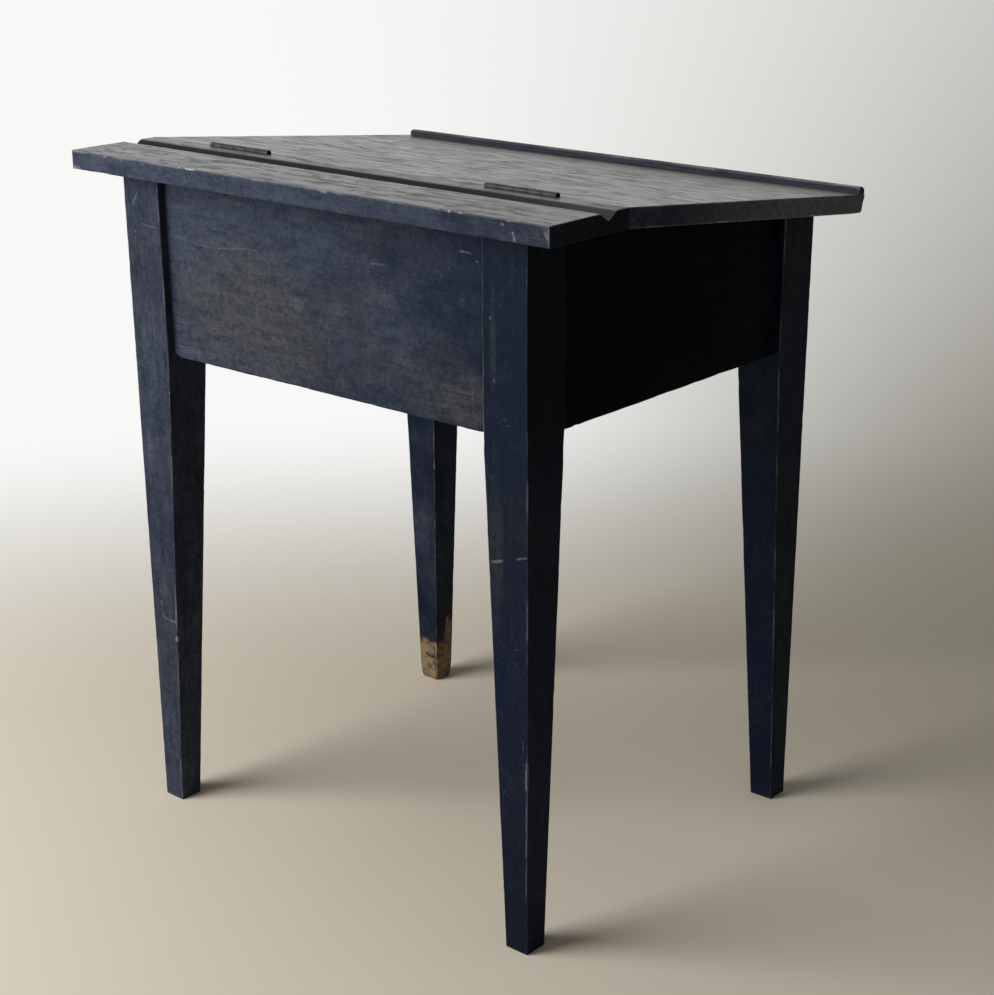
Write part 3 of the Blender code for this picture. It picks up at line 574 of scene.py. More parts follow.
# Scratches and knocks on faces that look back: two ends in X and Z, bow, width and strength
SCRATCHES = {
    "panel_back": (
        ((0.218, 0.679), (0.149, 0.672), 0.0023, 0.0008, 0.26),
        ((0.149, 0.672), (0.100, 0.678), 0.0, 0.0008, 0.28),
        ((0.100, 0.678), (0.067, 0.664), -0.0035, 0.0007, 0.20),
        ((-0.190, 0.7145), (-0.205, 0.7138), 0.0, 0.0018, 0.42),
        ((-0.074, 0.687), (-0.100, 0.688), 0.0, 0.0014, 0.22),
        ((-0.211, 0.708), (-0.212, 0.706), 0.0, 0.0014, 0.45),
        ((-0.0316, 0.565), (-0.0328, 0.563), 0.0, 0.0020, 0.60),
        ((-0.205, 0.584), (-0.207, 0.556), 0.001, 0.0008, 0.16),
        ((0.221, 0.5575), (0.186, 0.5587), 0.0004, 0.0009, 0.22),
        ((0.214, 0.5538), (0.170, 0.5572), -0.0004, 0.0006, 0.14),
        ((0.216, 0.5510), (0.178, 0.5548), 0.0003, 0.0008, 0.18),
    ),
    "leg_back_right": (
        ((0.2573, 0.7187), (0.2670, 0.7043), 0.0005, 0.0012, 0.45),
        ((0.2550, 0.6866), (0.2308, 0.6843), 0.0006, 0.0008, 0.42),
        ((0.2660, 0.6778), (0.2657, 0.6755), 0.0, 0.0016, 0.40),
        ((0.2655, 0.6710), (0.2652, 0.6688), 0.0, 0.0012, 0.30),
        ((0.2396, 0.2780), (0.2414, 0.2390), 0.0, 0.0014, 0.30),
        ((0.2410, 0.2450), (0.2422, 0.2170), 0.0, 0.0018, 0.42),
        ((0.2654, 0.2345), (0.2530, 0.2303), 0.0010, 0.0018, 0.34),
        ((0.2530, 0.2303), (0.2412, 0.2300), 0.0, 0.0020, 0.42),
        ((0.2420, 0.2128), (0.2427, 0.2062), 0.0, 0.0034, 0.80),
        ((0.2660, 0.2660), (0.2630, 0.2625), 0.0, 0.0018, 0.26),
        ((0.2650, 0.2520), (0.2655, 0.2470), 0.0, 0.0016, 0.26),
        ((0.2503, 0.0550), (0.2518, 0.0330), 0.0, 0.0010, 0.34),
    ),
    "leg_back_left": (
        ((-0.2345, 0.4200), (-0.2500, 0.4250), 0.0, 0.0024, 0.45),
        ((-0.2660, 0.4303), (-0.2795, 0.4347), 0.0, 0.0016, 0.38),
        ((-0.2345, 0.6610), (-0.2355, 0.6580), 0.0, 0.0022, 0.30),
        ((-0.2390, 0.6030), (-0.2400, 0.5990), 0.0, 0.0016, 0.25),
        ((-0.2789, 0.2190), (-0.2787, 0.1880), 0.0, 0.0020, 0.55),
        ((-0.2787, 0.1750), (-0.2787, 0.0650), 0.0, 0.0013, 0.28),
        ((-0.2745, 0.2420), (-0.2748, 0.2300), 0.0, 0.0010, 0.22),
    ),
    "pen_board": (
        ((0.3275, 0.7428), (0.3135, 0.7402), 0.0, 0.0030, 0.85),
        ((0.2750, 0.7587), (0.2690, 0.7584), 0.0, 0.0022, 0.60),
        ((0.2480, 0.7574), (0.2440, 0.7570), 0.0, 0.0018, 0.45),
        ((0.2150, 0.7570), (0.2080, 0.7566), 0.0, 0.0016, 0.45),
        ((0.2546, 0.7450), (0.2548, 0.7395), 0.0, 0.0008, 0.28),
        ((0.1475, 0.7500), (0.1455, 0.7455), 0.0008, 0.0010, 0.28),
        ((-0.0480, 0.7584), (-0.0560, 0.7580), 0.0, 0.0020, 0.65),
        ((-0.2857, 0.7503), (-0.2883, 0.7410), 0.0, 0.0022, 0.65),
        ((-0.2720, 0.7552), (-0.2755, 0.7547), 0.0, 0.0016, 0.55),
        ((-0.2790, 0.7590), (-0.2830, 0.7586), 0.0, 0.0014, 0.55),
        ((-0.3215, 0.7587), (-0.3262, 0.7480), 0.001, 0.0030, 0.45),
        ((-0.3264, 0.7580), (-0.3276, 0.7405), 0.0, 0.0022, 0.55),
    ),
}
SCRATCH_DEPTH = 0.0016
SCRATCH_RELIEF = 0.6

# Cracks in the bare foot, given as scratches
FOOT_CRACKS = (
    ((0.2705, 0.0375), (0.2555, 0.0345), 0.001, 0.0018, 0.9),
    ((0.2590, 0.0365), (0.2570, 0.0335), 0.0, 0.0034, 0.9),
    ((0.2535, 0.0540), (0.2530, 0.0140), 0.001, 0.0012, 0.9),
)

# Cloudy marks on faces that look back: centre and reach in X and Z, colour and strength
STAINS = {
    "panel_back": (
        ((0.112, 0.622), (0.142, 0.078), "grime", 0.88),
        ((-0.185, 0.572), (0.080, 0.036), "grime", 0.80),
        ((0.080, 0.572), (0.160, 0.036), "grime", 0.55),
        ((-0.130, 0.592), (0.130, 0.052), "rubbed", 0.16),
        ((-0.130, 0.702), (0.120, 0.044), "deep", 0.34),
        ((0.118, 0.721), (0.030, 0.007), "chalk", 0.16),
        ((0.028, 0.632), (0.012, 0.010), "chalk", 0.20),
        ((-0.096, 0.654), (0.014, 0.012), "chalk", 0.15),
        ((-0.114, 0.600), (0.012, 0.014), "chalk", 0.12),
        ((-0.193, 0.668), (0.006, 0.010), "chalk", 0.16),
        ((0.195, 0.5560), (0.026, 0.005), "chalk", 0.16),
    ),
    "leg_back_right": (
        ((0.2645, 0.432), (0.010, 0.022), "chalk", 0.22),
        ((0.2580, 0.255), (0.018, 0.032), "chalk", 0.14),
    ),
    "leg_back_left": (
        ((-0.240, 0.420), (0.012, 0.120), "grime", 0.35),
        ((-0.238, 0.640), (0.005, 0.060), "chalk", 0.13),
    ),
}
STAIN_DEPTH = 10.0
STAIN_MOTTLE = (0.40, 0.58, 0.70, 1.0)
STAIN_FIBRE = (0.40, 0.60, 0.55, 1.0)

# How far the grain shows through the paint of sides and of polished tops, and their bump and gloss
SIDE_PAINT = {"grain": 0.55, "bump": 0.22, "gloss": 0.09}
TOP_PAINT = {"grain": 1.0, "bump": 0.14, "gloss": 0.44}

# The paint's own patterns: starts, shapes and bounds, and how pale it is at each end, partly from fading and
# partly painted light that is brighter on the right, towards the light
GREENING = ((5.2, 0.3, 2.2), (7.0, 3.0, 0.6), (0.44, 0.60))
HAZE = ((3.1, 1.7, 0.4), (4.2, 3.0, 0.55), (0.50, 0.72))
CLOUD = (6.5, 8.0, 0.68, 0.3)
CLOUD_RANGE = (0.28, 0.76)
FADE_AND_LIGHT_LEFT = -0.22
FADE_AND_LIGHT_RIGHT = 0.18
POLISHED_HAZE = (0.0, 1.0, 0.60, 0.85)
FLECK_STRETCH = (0.22, 1.0, 1.0)

# Where patterns of the wood and of use set in on the paint
DARK_RANGE = (0.36, 0.52)
PALE_RANGE = (0.52, 0.74)
STREAK_RANGE = (0.36, 0.68)
FIBRE_RANGE = (0.54, 0.70)
SUNK_RANGE = (0.38, 0.50)
LIFTED_RANGE = (0.50, 0.64)

# How strongly each layer of the paint shows: all over, or in darker and in paler paint, where the paleness is
# partly fading and partly painted light
SHOWN = {
    "green": 0.6, "haze": 0.30, "dark": 0.75, "pale": 0.55, "streak": 0.45, "sunk": 0.40, "lifted": 0.30,
    "smudge": 0.05, "hairline": 0.11, "dark fleck": 0.7, "pale fleck": 0.22, "edge": 0.85,
}
FADED_HAZE = (0.15, 1.0)
FADED_FIBRE = (0.12, 0.45)
DARK_OLIVE = 0.22

# Dullness and relief of the paint
POLISHING = 0.14
STREAK_SHINE = 0.06
STREAK_DULLNESS = 0.10
DARK_SHARE = 0.7
DARK_ROUGHNESS = 0.75
CHIP_ROUGHNESS = 0.78
RELIEF = {"Fibre": 0.5, "Streak": 0.8, "Blotch": 0.6}
CHIP_RELIEF = 1.6


class PaintCoat(Finish):
    """Old blue-black paint over pine, laid on in order: tones, stains, grain, marks of use and worn edges.

    Polish, from 0 to 1, is how far sleeves have rubbed it. Well kept paint is darker, and on some legs that
    darkness is painted shade. Clean paint has few flecks, and rub is how wide its edges are worn. It is paler
    to the right, partly faded and partly painted light from the light's side.
    """

    def __init__(self, name, grain, paint, polish, kept, clean, rub):
        super().__init__(name, grain)
        nodes = self.nodes
        self.paint = paint
        self.polish = polish
        flat = nodes.vector("MULTIPLY", self.place, FLECK_STRETCH) if polish else self.place
        self.use = nodes.group("handling_marks", {"Vector": flat, "Clean": clean})
        worn = {"Edge Space": nodes.attribute(EDGE_SPACE), "Chipped": nodes.attribute(CHIPPED)}
        self.wear = nodes.group("edge_wear", {"Vector": self.place, "Width": rub, **worn})
        fade_and_light = nodes.step(self.part(X), LEFT_END, RIGHT_END, FADE_AND_LIGHT_LEFT - kept, FADE_AND_LIGHT_RIGHT - kept)
        self.cloud_fade_and_light = nodes.step(nodes.plus(nodes.noise(self.place, *CLOUD), fade_and_light), *CLOUD_RANGE)
        self.dark = nodes.step(self.wood["Blotch"], *DARK_RANGE, SHOWN["dark"] * self.style("grain"), 0.0)
        self.streak = nodes.step(self.wood["Streak"], *STREAK_RANGE)

    def style(self, key):
        """A measure of the paint, between that of sides and that of polished tops."""
        return SIDE_PAINT[key] + self.polish * (TOP_PAINT[key] - SIDE_PAINT[key])

    def pattern(self, start, shape, bounds):
        """Mask of one of the paint's own patterns."""
        return self.nodes.mask(self.nodes.vector("ADD", self.place, start), shape, bounds)

    def lay_tones(self, node):
        """Blue-black with green places, gone to slate as it fades and as painted light towards the right, with its
        stains and its polish.
        """
        nodes = self.nodes
        paint = self.paint
        haze = self.pattern(*HAZE)
        green = nodes.times(self.pattern(*GREENING), SHOWN["green"])
        self.color = nodes.mix(green, opaque(paint.deep), opaque(paint.teal))
        self.cover(self.cloud_fade_and_light, paint.slate)
        self.cover(nodes.times(haze, nodes.blend(self.cloud_fade_and_light, *FADED_HAZE)), paint.grime, SHOWN["haze"])
        if node in STAINS:
            self.lay_stains(STAINS[node])
        if self.polish:
            self.cover(nodes.step(haze, *POLISHED_HAZE), paint.olive, self.polish)

    def lay_stains(self, stains):
        """Cloudy marks, broken up by the mottle and the fibres."""
        nodes = self.nodes
        mottle = nodes.step(self.use["Mottle"], *STAIN_MOTTLE)
        drawn = nodes.times(mottle, nodes.step(self.wood["Fibre"], *STAIN_FIBRE))
        for (x, z), (wide, high), color, strength in stains:
            inputs = {"Vector": self.place, "Centre": (x, 0.0, z), "Reach": (wide, STAIN_DEPTH, high)}
            mask = nodes.group("one_stain", inputs)["Mask"]
            self.cover(nodes.times(mask, drawn), getattr(self.paint, color), strength)

    def lay_grain(self):
        """Dark and pale blotches, streaks and fibres of the wood below."""
        nodes = self.nodes
        paint = self.paint
        depth = self.style("grain")
        shade = Vector(paint.olive).lerp(Vector(paint.deep), 1.0 - DARK_OLIVE * self.polish)
        pale = nodes.step(self.wood["Blotch"], *PALE_RANGE, 0.0, SHOWN["pale"] * depth)
        fibre = nodes.step(self.wood["Fibre"], *FIBRE_RANGE)
        self.cover(self.dark, shade)
        self.cover(nodes.times(pale, self.cloud_fade_and_light), paint.rubbed)
        self.cover(self.streak, shade, SHOWN["streak"] * depth)
        self.cover(nodes.times(fibre, nodes.blend(self.cloud_fade_and_light, *FADED_FIBRE)), paint.rubbed, depth)

    def lay_use(self):
        """Mottle, smudges, hairlines and flecks, which are dark on polished paint."""
        nodes = self.nodes
        paint = self.paint
        rough = 1.0 - self.polish
        lifted = nodes.step(self.use["Mottle"], *LIFTED_RANGE)
        self.cover(nodes.fall(self.use["Mottle"], *SUNK_RANGE), paint.deep, SHOWN["sunk"] * rough)
        shown = nodes.times(lifted, nodes.blend(self.cloud_fade_and_light, *FADED_HAZE))
        self.cover(shown, paint.rubbed, SHOWN["lifted"] * rough)
        self.cover(self.use["Smudge"], paint.chalk, SHOWN["smudge"])
        self.cover(self.use["Scratches"], paint.chalk, SHOWN["hairline"])
        if self.polish:
            self.cover(self.use["Flecks"], paint.deep, SHOWN["dark fleck"])
        else:
            self.cover(self.use["Flecks"], paint.chalk, SHOWN["pale fleck"])

    def lay_wear(self, node):
        """Rubbed and chipped edges and the piece's own scratches, and then dullness and relief."""
        nodes = self.nodes
        chips = self.wear["Chipped"]
        self.cover(self.wear["Rubbed"], self.paint.edge, SHOWN["edge"])
        self.cover(chips, self.paint.bare)
        deepest = chips
        for mask, strength in scratch_masks(self, node):
            self.cover(mask, self.paint.chalk, strength)
            deepest = nodes.math("MAXIMUM", deepest, nodes.times(mask, SCRATCH_RELIEF * strength))
        roughness = self.paint.roughness - POLISHING * self.polish
        self.dull = nodes.blend(self.streak, roughness - STREAK_SHINE, roughness + STREAK_DULLNESS)
        self.dull = nodes.blend(nodes.times(self.dark, DARK_SHARE), self.dull, DARK_ROUGHNESS)
        self.dull = nodes.blend(chips, self.dull, CHIP_ROUGHNESS)
        self.relief = nodes.times(deepest, -CHIP_RELIEF)
        for key, height in RELIEF.items():
            self.relief = nodes.plus(self.relief, nodes.times(self.wood[key], height))


def paint_material(
    name, grain, paint, node="", polish=0.0, kept=0.0, clean=0.66, rub=0.0020, layers=(), shine=1.0
):
    """Old paint with the marks of one piece.

    Layers are functions that lay over it what one piece alone has. Shine is the share of its gloss that
    is left.
    """
    coat = PaintCoat(name, grain, paint, polish, kept, clean, rub)
    coat.lay_tones(node)
    coat.lay_grain()
    coat.lay_use()
    coat.lay_wear(node)
    for layer in layers:
        layer(coat)
    # Gloss tint: warm on polished paint, and blue on the rest, where the blue is painted cool light for the shade
    gloss_tint = Vector(paint.gloss_cool_light).lerp(Vector(paint.sheen), min(1.0, 2.0 * polish))
    coat.shader["Specular Tint"].default_value = opaque(gloss_tint)
    coat.shader["Specular IOR Level"].default_value = coat.style("gloss") * shine
    return coat.close(coat.style("bump"))


def scratch_masks(coat, node):
    """Mask and strength of each scratch on the face of a piece that looks back."""
    if node not in SCRATCHES:
        return
    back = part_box(node)[1].y
    facing = coat.nodes.step(coat.part(Y), back - 2.0 * SCRATCH_DEPTH, back - SCRATCH_DEPTH)
    for mark in SCRATCHES[node]:
        mask, strength = one_scratch(coat, *mark)
        yield coat.nodes.times(mask, facing), strength


def one_scratch(coat, start, end, bow, width, strength):
    """Mask of one scratch, and its strength."""
    ends = {"From": (start[0], 0.0, start[1]), "To": (end[0], 0.0, end[1])}
    inputs = {"Vector": coat.place, "Bow": bow, "Width": width, **ends}
    return coat.nodes.group("one_scratch", inputs)["Mask"], strength


# Painted shade in the pen groove: depths where it starts and is full, length of its thin left end, and shares
# along it
GROOVE_SHADE_START = 0.0005
GROOVE_SHADE_FULL = 0.0013
GROOVE_SHADE_THIN = 0.20
GROOVE_SHADE_SHARES = (0.45, 0.97)
GROOVE_SHADE_ROUGHNESS = 0.9


def groove_shade(front, back, top):
    """Layer of painted shade down in the pen groove, thinner towards its left end."""

    def layer(coat):
        nodes = coat.nodes
        after = nodes.step(coat.part(Y), front - GROOVE_STEP, front)
        before = nodes.fall(coat.part(Y), back, back + GROOVE_STEP)
        sunk = nodes.fall(coat.part(Z), top - GROOVE_SHADE_FULL, top - GROOVE_SHADE_START)
        kept = nodes.step(coat.part(X), LEFT_END, LEFT_END + GROOVE_SHADE_THIN, *GROOVE_SHADE_SHARES)
        # Painted shade: deep in the groove, fading out at its sides and thinner to the left
        dirt = nodes.times(after, before, sunk, kept)
        coat.cover(dirt, coat.paint.soot_and_groove_shade)
        coat.dull = nodes.blend(dirt, coat.dull, GROOVE_SHADE_ROUGHNESS)

    return layer


# Painted shade on faces that look left, away from the light: how far in a left face counts, where the shade sets
# in by height and depth, and its tone
LEFT_FACE = 0.0006
SIDE_SHADE_EDGE = 0.001
SIDE_SHADE_HEIGHTS = (KNEE - 0.06, KNEE + 0.03)
SIDE_SHADE_DEPTHS = (-0.22, -0.06)
SIDE_SHADE_SHARES = (0.60, 1.0)
SIDE_SHADE_TONE = 0.1


def painted_side_shade(left, strength):
    """Layer of painted shade: near-black over a face that looks left from a place in X, stronger higher up and
    towards the back.
    """
    outer = left + LEFT_FACE

    def layer(coat):
        nodes = coat.nodes
        side = nodes.fall(coat.part(X), outer, outer + SIDE_SHADE_EDGE)
        high = nodes.step(coat.part(Z), *SIDE_SHADE_HEIGHTS)
        deep = nodes.step(coat.part(Y), *SIDE_SHADE_DEPTHS, *SIDE_SHADE_SHARES)
        coat.cover(nodes.times(side, high, deep), [SIDE_SHADE_TONE * part for part in coat.paint.deep], strength)

    return layer


# The lid's left end made paler towards its low edge, partly wear and partly painted sheen
LIFTED_EDGE = 0.0024
LIFTED_DEPTHS = (-0.16, 0.12)
LIFTED_STREAKS = (0.36, 0.64, 0.5, 1.0)
LIFTED_SHOWN = 0.8


def lift_wear_and_sheen(coat):
    """Layer on the lid's left end, paler towards the low edge: partly paint rubbed where a hand lifts it, partly a
    painted sheen.
    """
    nodes = coat.nodes
    end = nodes.fall(coat.part(X), LEFT_END + LEFT_FACE, LEFT_END + LIFTED_EDGE)
    low = nodes.fall(coat.part(Y), *LIFTED_DEPTHS)
    uneven = nodes.step(coat.wood["Streak"], *LIFTED_STREAKS)
    coat.cover(nodes.times(end, low, uneven), coat.paint.chalk, LIFTED_SHOWN)


SLEEVE_REACH = 0.22
SLEEVE_SHOWN = 0.50


def sleeve_rub(coat):
    """Layer on the lid's top: paint rubbed paler towards its left end."""
    near = coat.nodes.fall(coat.part(X), LEFT_END, LEFT_END + SLEEVE_REACH)
    coat.cover(near, coat.paint.edge, SLEEVE_SHOWN)


# The bare foot: height of its line, a tongue up the leg, the line's rags, its rim, and the look of its wood
BARE_NODE = "leg_front_right"
BARE_LOW, BARE_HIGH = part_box(BARE_NODE)
BARE_HEIGHT = 0.057
TONGUE_HEIGHT = 0.030
TONGUE_DEPTHS = (BARE_LOW.y + 0.0125, BARE_LOW.y + 0.0170)
TONGUE_SIDES = (BARE_HIGH.x - 0.026, BARE_HIGH.x - 0.016)
LINE_RAGGED = (140.0, 4.0, 0.6)
LINE_RISE = 0.022
LINE_RANGE = (-0.0008, 0.0012)
RIM_ABOVE = -0.0030
RIM_BELOW = 0.0050
RIM_SHOWN = 0.7
FOOT_WORN = 0.6
FOOT_DIRT = ((110.0, 5.0, 0.7), (0.44, 0.62))
FOOT_DIRT_SHOWN = 0.75
FOOT_ROUGHNESS = 0.8
PAINT_RELIEF = 0.8


def bare_foot(coat):
    """Layer of bare wood on the front right foot, which has lost its paint.

    It ends at a ragged line with a rim of primer. A tongue of it runs up the front of the inner side.
    """
    nodes = coat.nodes
    pine = bpy.context.scene.desk_wood
    tongue = nodes.fall(coat.part(Y), *TONGUE_DEPTHS)
    inner = nodes.fall(coat.part(X), *TONGUE_SIDES)
    line = nodes.plus(nodes.times(tongue, inner, TONGUE_HEIGHT), BARE_HEIGHT)
    ragged = nodes.times(nodes.minus(nodes.noise(coat.place, *LINE_RAGGED), NOISE_MEAN), LINE_RISE)
    below = nodes.minus(nodes.plus(line, ragged), coat.part(Z))
    rim = nodes.times(nodes.step(below, RIM_ABOVE, 0.0), nodes.fall(below, 0.0, RIM_BELOW))
    shown = nodes.step(below, *LINE_RANGE)
    painted = coat.color
    paint_relief = nodes.plus(coat.relief, PAINT_RELIEF)
    lay_pine(coat, pine)
    coat.color = nodes.mix(FOOT_WORN, coat.color, opaque(pine.worn))
    coat.cover(nodes.mask(coat.place, *FOOT_DIRT), coat.paint.grime, FOOT_DIRT_SHOWN)
    for mark in FOOT_CRACKS:
        mask, strength = one_scratch(coat, *mark)
        coat.cover(mask, coat.paint.soot_and_groove_shade, strength)
    coat.color = nodes.mix(shown, painted, coat.color)
    coat.cover(rim, coat.paint.primer, RIM_SHOWN)
    coat.dull = nodes.blend(shown, coat.dull, FOOT_ROUGHNESS)
    coat.relief = nodes.blend(shown, paint_relief, coat.relief)


# Bare pine: range and strength of each layer of its grain, its tone, relief, smudges, dullness and bump
PINE_BANDS = 0.75
PINE_FIBRES = (0.42, 0.66)
PINE_BLOTCHES = (0.48, 0.75)
PINE_BLOTCH_SHOWN = 0.35
PINE_TONE = ((5.0, 3.0, 0.5), (0.45, 0.75))
PINE_DARKENED = 0.5
PINE_CRACKS = (0.62, 0.72)
PINE_CRACK_SHOWN = 0.7
PINE_FIBRE_RELIEF = 0.8
PINE_SMUDGES = 0.45
PINE_ROUGHNESS = (0.62, 0.85)
PINE_BUMP = 0.4


def lay_pine(coat, pine):
    """Colour and relief of bare old pine."""
    nodes = coat.nodes
    coat.color = nodes.mix(nodes.times(coat.wood["Band"], PINE_BANDS), opaque(pine.pale), opaque(pine.dark))
    coat.cover(nodes.step(coat.wood["Fibre"], *PINE_FIBRES), pine.dark, PINE_DARKENED)
    coat.cover(nodes.step(coat.wood["Blotch"], *PINE_BLOTCHES), pine.dirt, PINE_BLOTCH_SHOWN)
    coat.cover(nodes.mask(coat.place, *PINE_TONE), pine.dark, PINE_DARKENED)
    crack = nodes.step(coat.wood["Streak"], *PINE_CRACKS)
    coat.cover(crack, pine.dirt, PINE_CRACK_SHOWN)
    coat.relief = nodes.minus(nodes.times(coat.wood["Fibre"], PINE_FIBRE_RELIEF), crack)


def pine_material(name, grain, pine):
    """Bare old pine with growth bands, dirty grain and a dull surface."""
    plain = Finish(name, grain)
    lay_pine(plain, pine)
    marks = plain.nodes.group("handling_marks", {"Vector": plain.place})
    plain.cover(marks["Smudge"], pine.dirt, PINE_SMUDGES)
    plain.dull = plain.nodes.blend(plain.wood["Fibre"], *PINE_ROUGHNESS)
    return plain.close(PINE_BUMP)


# Old iron: rust, polish and pits, and what it measures from clean to rusted
RUST = ((160.0, 5.0, 0.65), (0.50, 0.68))
RUST_SHOWN = 0.8
POLISH = ((70.0, 3.0, 0.6), (0.56, 0.74))
PITS = (900.0, 3.0, 0.6)
IRON_METALLIC = (0.95, 0.25)
IRON_ROUGHNESS = (0.48, 0.74)
IRON_BUMP = 0.3
IRON_BUMP_DEPTH = 0.0002
HINGE_SHINE = 0.6
FASTENER_SHINE = 1.0


def iron_material(name, iron, shine):
    """Dark iron with dull rust and places that use has polished."""
    metal = Finish(name)
    nodes = metal.nodes
    rust = nodes.mask(metal.place, *RUST)
    worn = nodes.mask(metal.place, *POLISH)
    metal.color = nodes.mix(nodes.times(worn, shine), opaque(iron.iron), opaque(iron.bright))
    metal.cover(rust, iron.rust, RUST_SHOWN)
    metal.dull = nodes.blend(rust, *IRON_ROUGHNESS)
    metal.relief = nodes.plus(nodes.noise(metal.place, *PITS), rust)
    nodes.feed(metal.shader["Metallic"], nodes.blend(rust, *IRON_METALLIC))
    return metal.close(IRON_BUMP, IRON_BUMP_DEPTH)


def material(name, maker, *arguments, **options):
    """A material by name, made when it is first asked for."""
    return bpy.data.materials.get(name) or maker(name, *arguments, **options)


def pine_along(axis):
    """Bare pine with its grain along an axis."""
    return material(f"pine_along_{'xyz'[axis]}", pine_material, axis, bpy.context.scene.desk_wood)


def cut_places(low, high, step, extra=()):
    """Where a block is cut along one axis: close together near both ends, and a step apart between them."""
    near = [space for space in EDGE_CUTS if space < (high - low) / 4]
    start, end = low + near[-1], high - near[-1]
    count = max(1, round((end - start) / step))
    middle = [start + (end - start) * index / count for index in range(1, count)]
    kept = [place for place in middle if all(abs(place - other) > step / 3 for other in extra)]
    return sorted([low + space for space in near] + [high - space for space in near] + kept + list(extra))


def block_cuts(low, high, *steps):
    """Where a block is cut along each axis, for a step along each."""
    return [cut_places(low[axis], high[axis], step) for axis, step in enumerate(steps)]


def cut_block(low, high, places):
    """A block between two corners, cut across each axis at its places."""
    bm = bmesh.new()
    bmesh.ops.create_cube(bm, size=1.0)
    for axis in range(3):
        uncut = [edge for edge in bm.edges if abs(edge.verts[0].co[axis] - edge.verts[1].co[axis]) > 0.5]
        bmesh.ops.subdivide_edges(bm, edges=uncut, cuts=len(places[axis]), use_grid_fill=True)
    stops = [[low[axis], *places[axis], high[axis]] for axis in range(3)]
    for vert in bm.verts:
        for axis in range(3):
            vert.co[axis] = stops[axis][round((vert.co[axis] + 0.5) * (len(stops[axis]) - 1))]
    return bm


def edge_spaces(place, low, high, left_out):
    """For each axis the distance to the nearer side, with the axis and the side's sign, nearest first."""
    far = max(high - low)
    spaces = []
    for axis in range(3):
        below = far if (axis, -1) in left_out else place[axis] - low[axis]
        above = far if (axis, 1) in left_out else high[axis] - place[axis]
        spaces.append((min(below, above), axis, -1 if below < above else 1))
    return sorted(spaces)


def wear_block(bm, low, high, radius, chip, crisp=(), plain=(), foot=0.0, ease=None):
    """Rounds a block's edges unevenly, more where they are chipped, and leaves its faces slightly hollow.

    Sides named in crisp, as an axis and a sign, meet other wood and keep sharp edges. Those named in plain
    keep the paint on their edges. A function given as ease says how far a place is rounded: 1 is as usual.
    """
    uneven = bpy.context.scene.desk_wear.uneven
    space_layer = bm.verts.layers.float.new(EDGE_SPACE)
    chip_layer = bm.verts.layers.float.new(CHIPPED)
    for vert in bm.verts:
        place = vert.co.copy()
        spaces = edge_spaces(place, low, high, crisp)
        to_edge = spaces[1][0]
        to_worn_edge = edge_spaces(place, low, high, (*crisp, *plain))[1][0]
        wave = noise.noise(place * WAVE)
        ripple = noise.noise(place * RIPPLE + RIPPLE_START)
        torn = max(0.0, noise.noise(place * TEAR + TEAR_START) + TEAR_RIPPLE * ripple - TEAR_FROM)
        reach = radius * (1.0 + WAVE_SHARE * wave + RIPPLE_SHARE * ripple)
        reach += chip * min(1.0, TEAR_ROUNDING * torn)
        if foot:
            reach += foot * max(0.0, 1.0 - (place.z - low.z) / (FOOT_WEAR_HEIGHT * foot))
        if ease:
            reach *= ease(place)
        vert[space_layer] = to_worn_edge
        vert[chip_layer] = min(1.0, TEAR_CHIPPING * torn) * max(0.0, 1.0 - to_worn_edge / (2.0 * chip))
        inner = Vector(
            min(
                max(place[axis], low[axis] + (0.0 if (axis, -1) in crisp else reach)),
                high[axis] - (0.0 if (axis, 1) in crisp else reach),
            )
            for axis in range(3)
        )
        out = place - inner
        if out.length > reach:
            place = inner + out * (reach / out.length)
        if to_edge > reach and spaces[0][0] < WELD_DISTANCE:
            hollow = uneven * (0.5 + 0.5 * noise.noise(place * HOLLOW_WAVE))
            hollow *= min(1.0, (to_edge - reach) / HOLLOW_MARGIN)
            place[spaces[0][1]] -= spaces[0][2] * hollow
        vert.co = place


def round_drop(space, radius):
    """How far a quarter round lies below its top, at a distance from its side."""
    short = max(0.0, 1.0 - space / radius)
    return radius * (1.0 - math.sqrt(max(0.0, 1.0 - short**2)))


def add_object(name, data):
    """A new object in the scene."""
    added = bpy.data.objects.new(name, data)
    bpy.context.scene.collection.objects.link(added)
    return added


def add_mesh(name, bm):
    """A new object in the scene, with a bmesh as its mesh."""
    mesh = bpy.data.meshes.new(name)
    bm.to_mesh(mesh)
    bm.free()
    return add_object(name, mesh)


def add_piece(name, bm, body, finishes, replaced):
    """Makes a bmesh a smooth-shaded piece that rides on a body and stands for CAD nodes."""
    piece = add_mesh(name, bm)
    for finish in finishes:
        piece.data.materials.append(finish)
    piece.data.shade_smooth()
    piece.data.set_sharp_from_angle(angle=SMOOTH_ANGLE)
    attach(piece, body)
    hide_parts(*replaced)
    return piece


def add_eased_node(node, body, finish, ease):
    """A welded copy of a node with its sharp edges eased."""
    bm = bmesh.new()
    bm.from_mesh(frame["nodes"][node].data)
    bmesh.ops.remove_doubles(bm, verts=bm.verts, dist=WELD_DISTANCE)
    bmesh.ops.dissolve_limit(bm, angle_limit=FLAT_ANGLE, verts=bm.verts, edges=bm.edges)
    sharp = [edge for edge in bm.edges if edge.is_manifold and edge.calc_face_angle() > SMOOTH_ANGLE]
    bmesh.ops.bevel(
        bm, geom=sharp, offset=ease, segments=EASE_SEGMENTS, profile=0.5, affect="EDGES", clamp_overlap=True,
        material=-1,
    )
    add_piece(f"old_{node}", bm, body, [finish], [node])


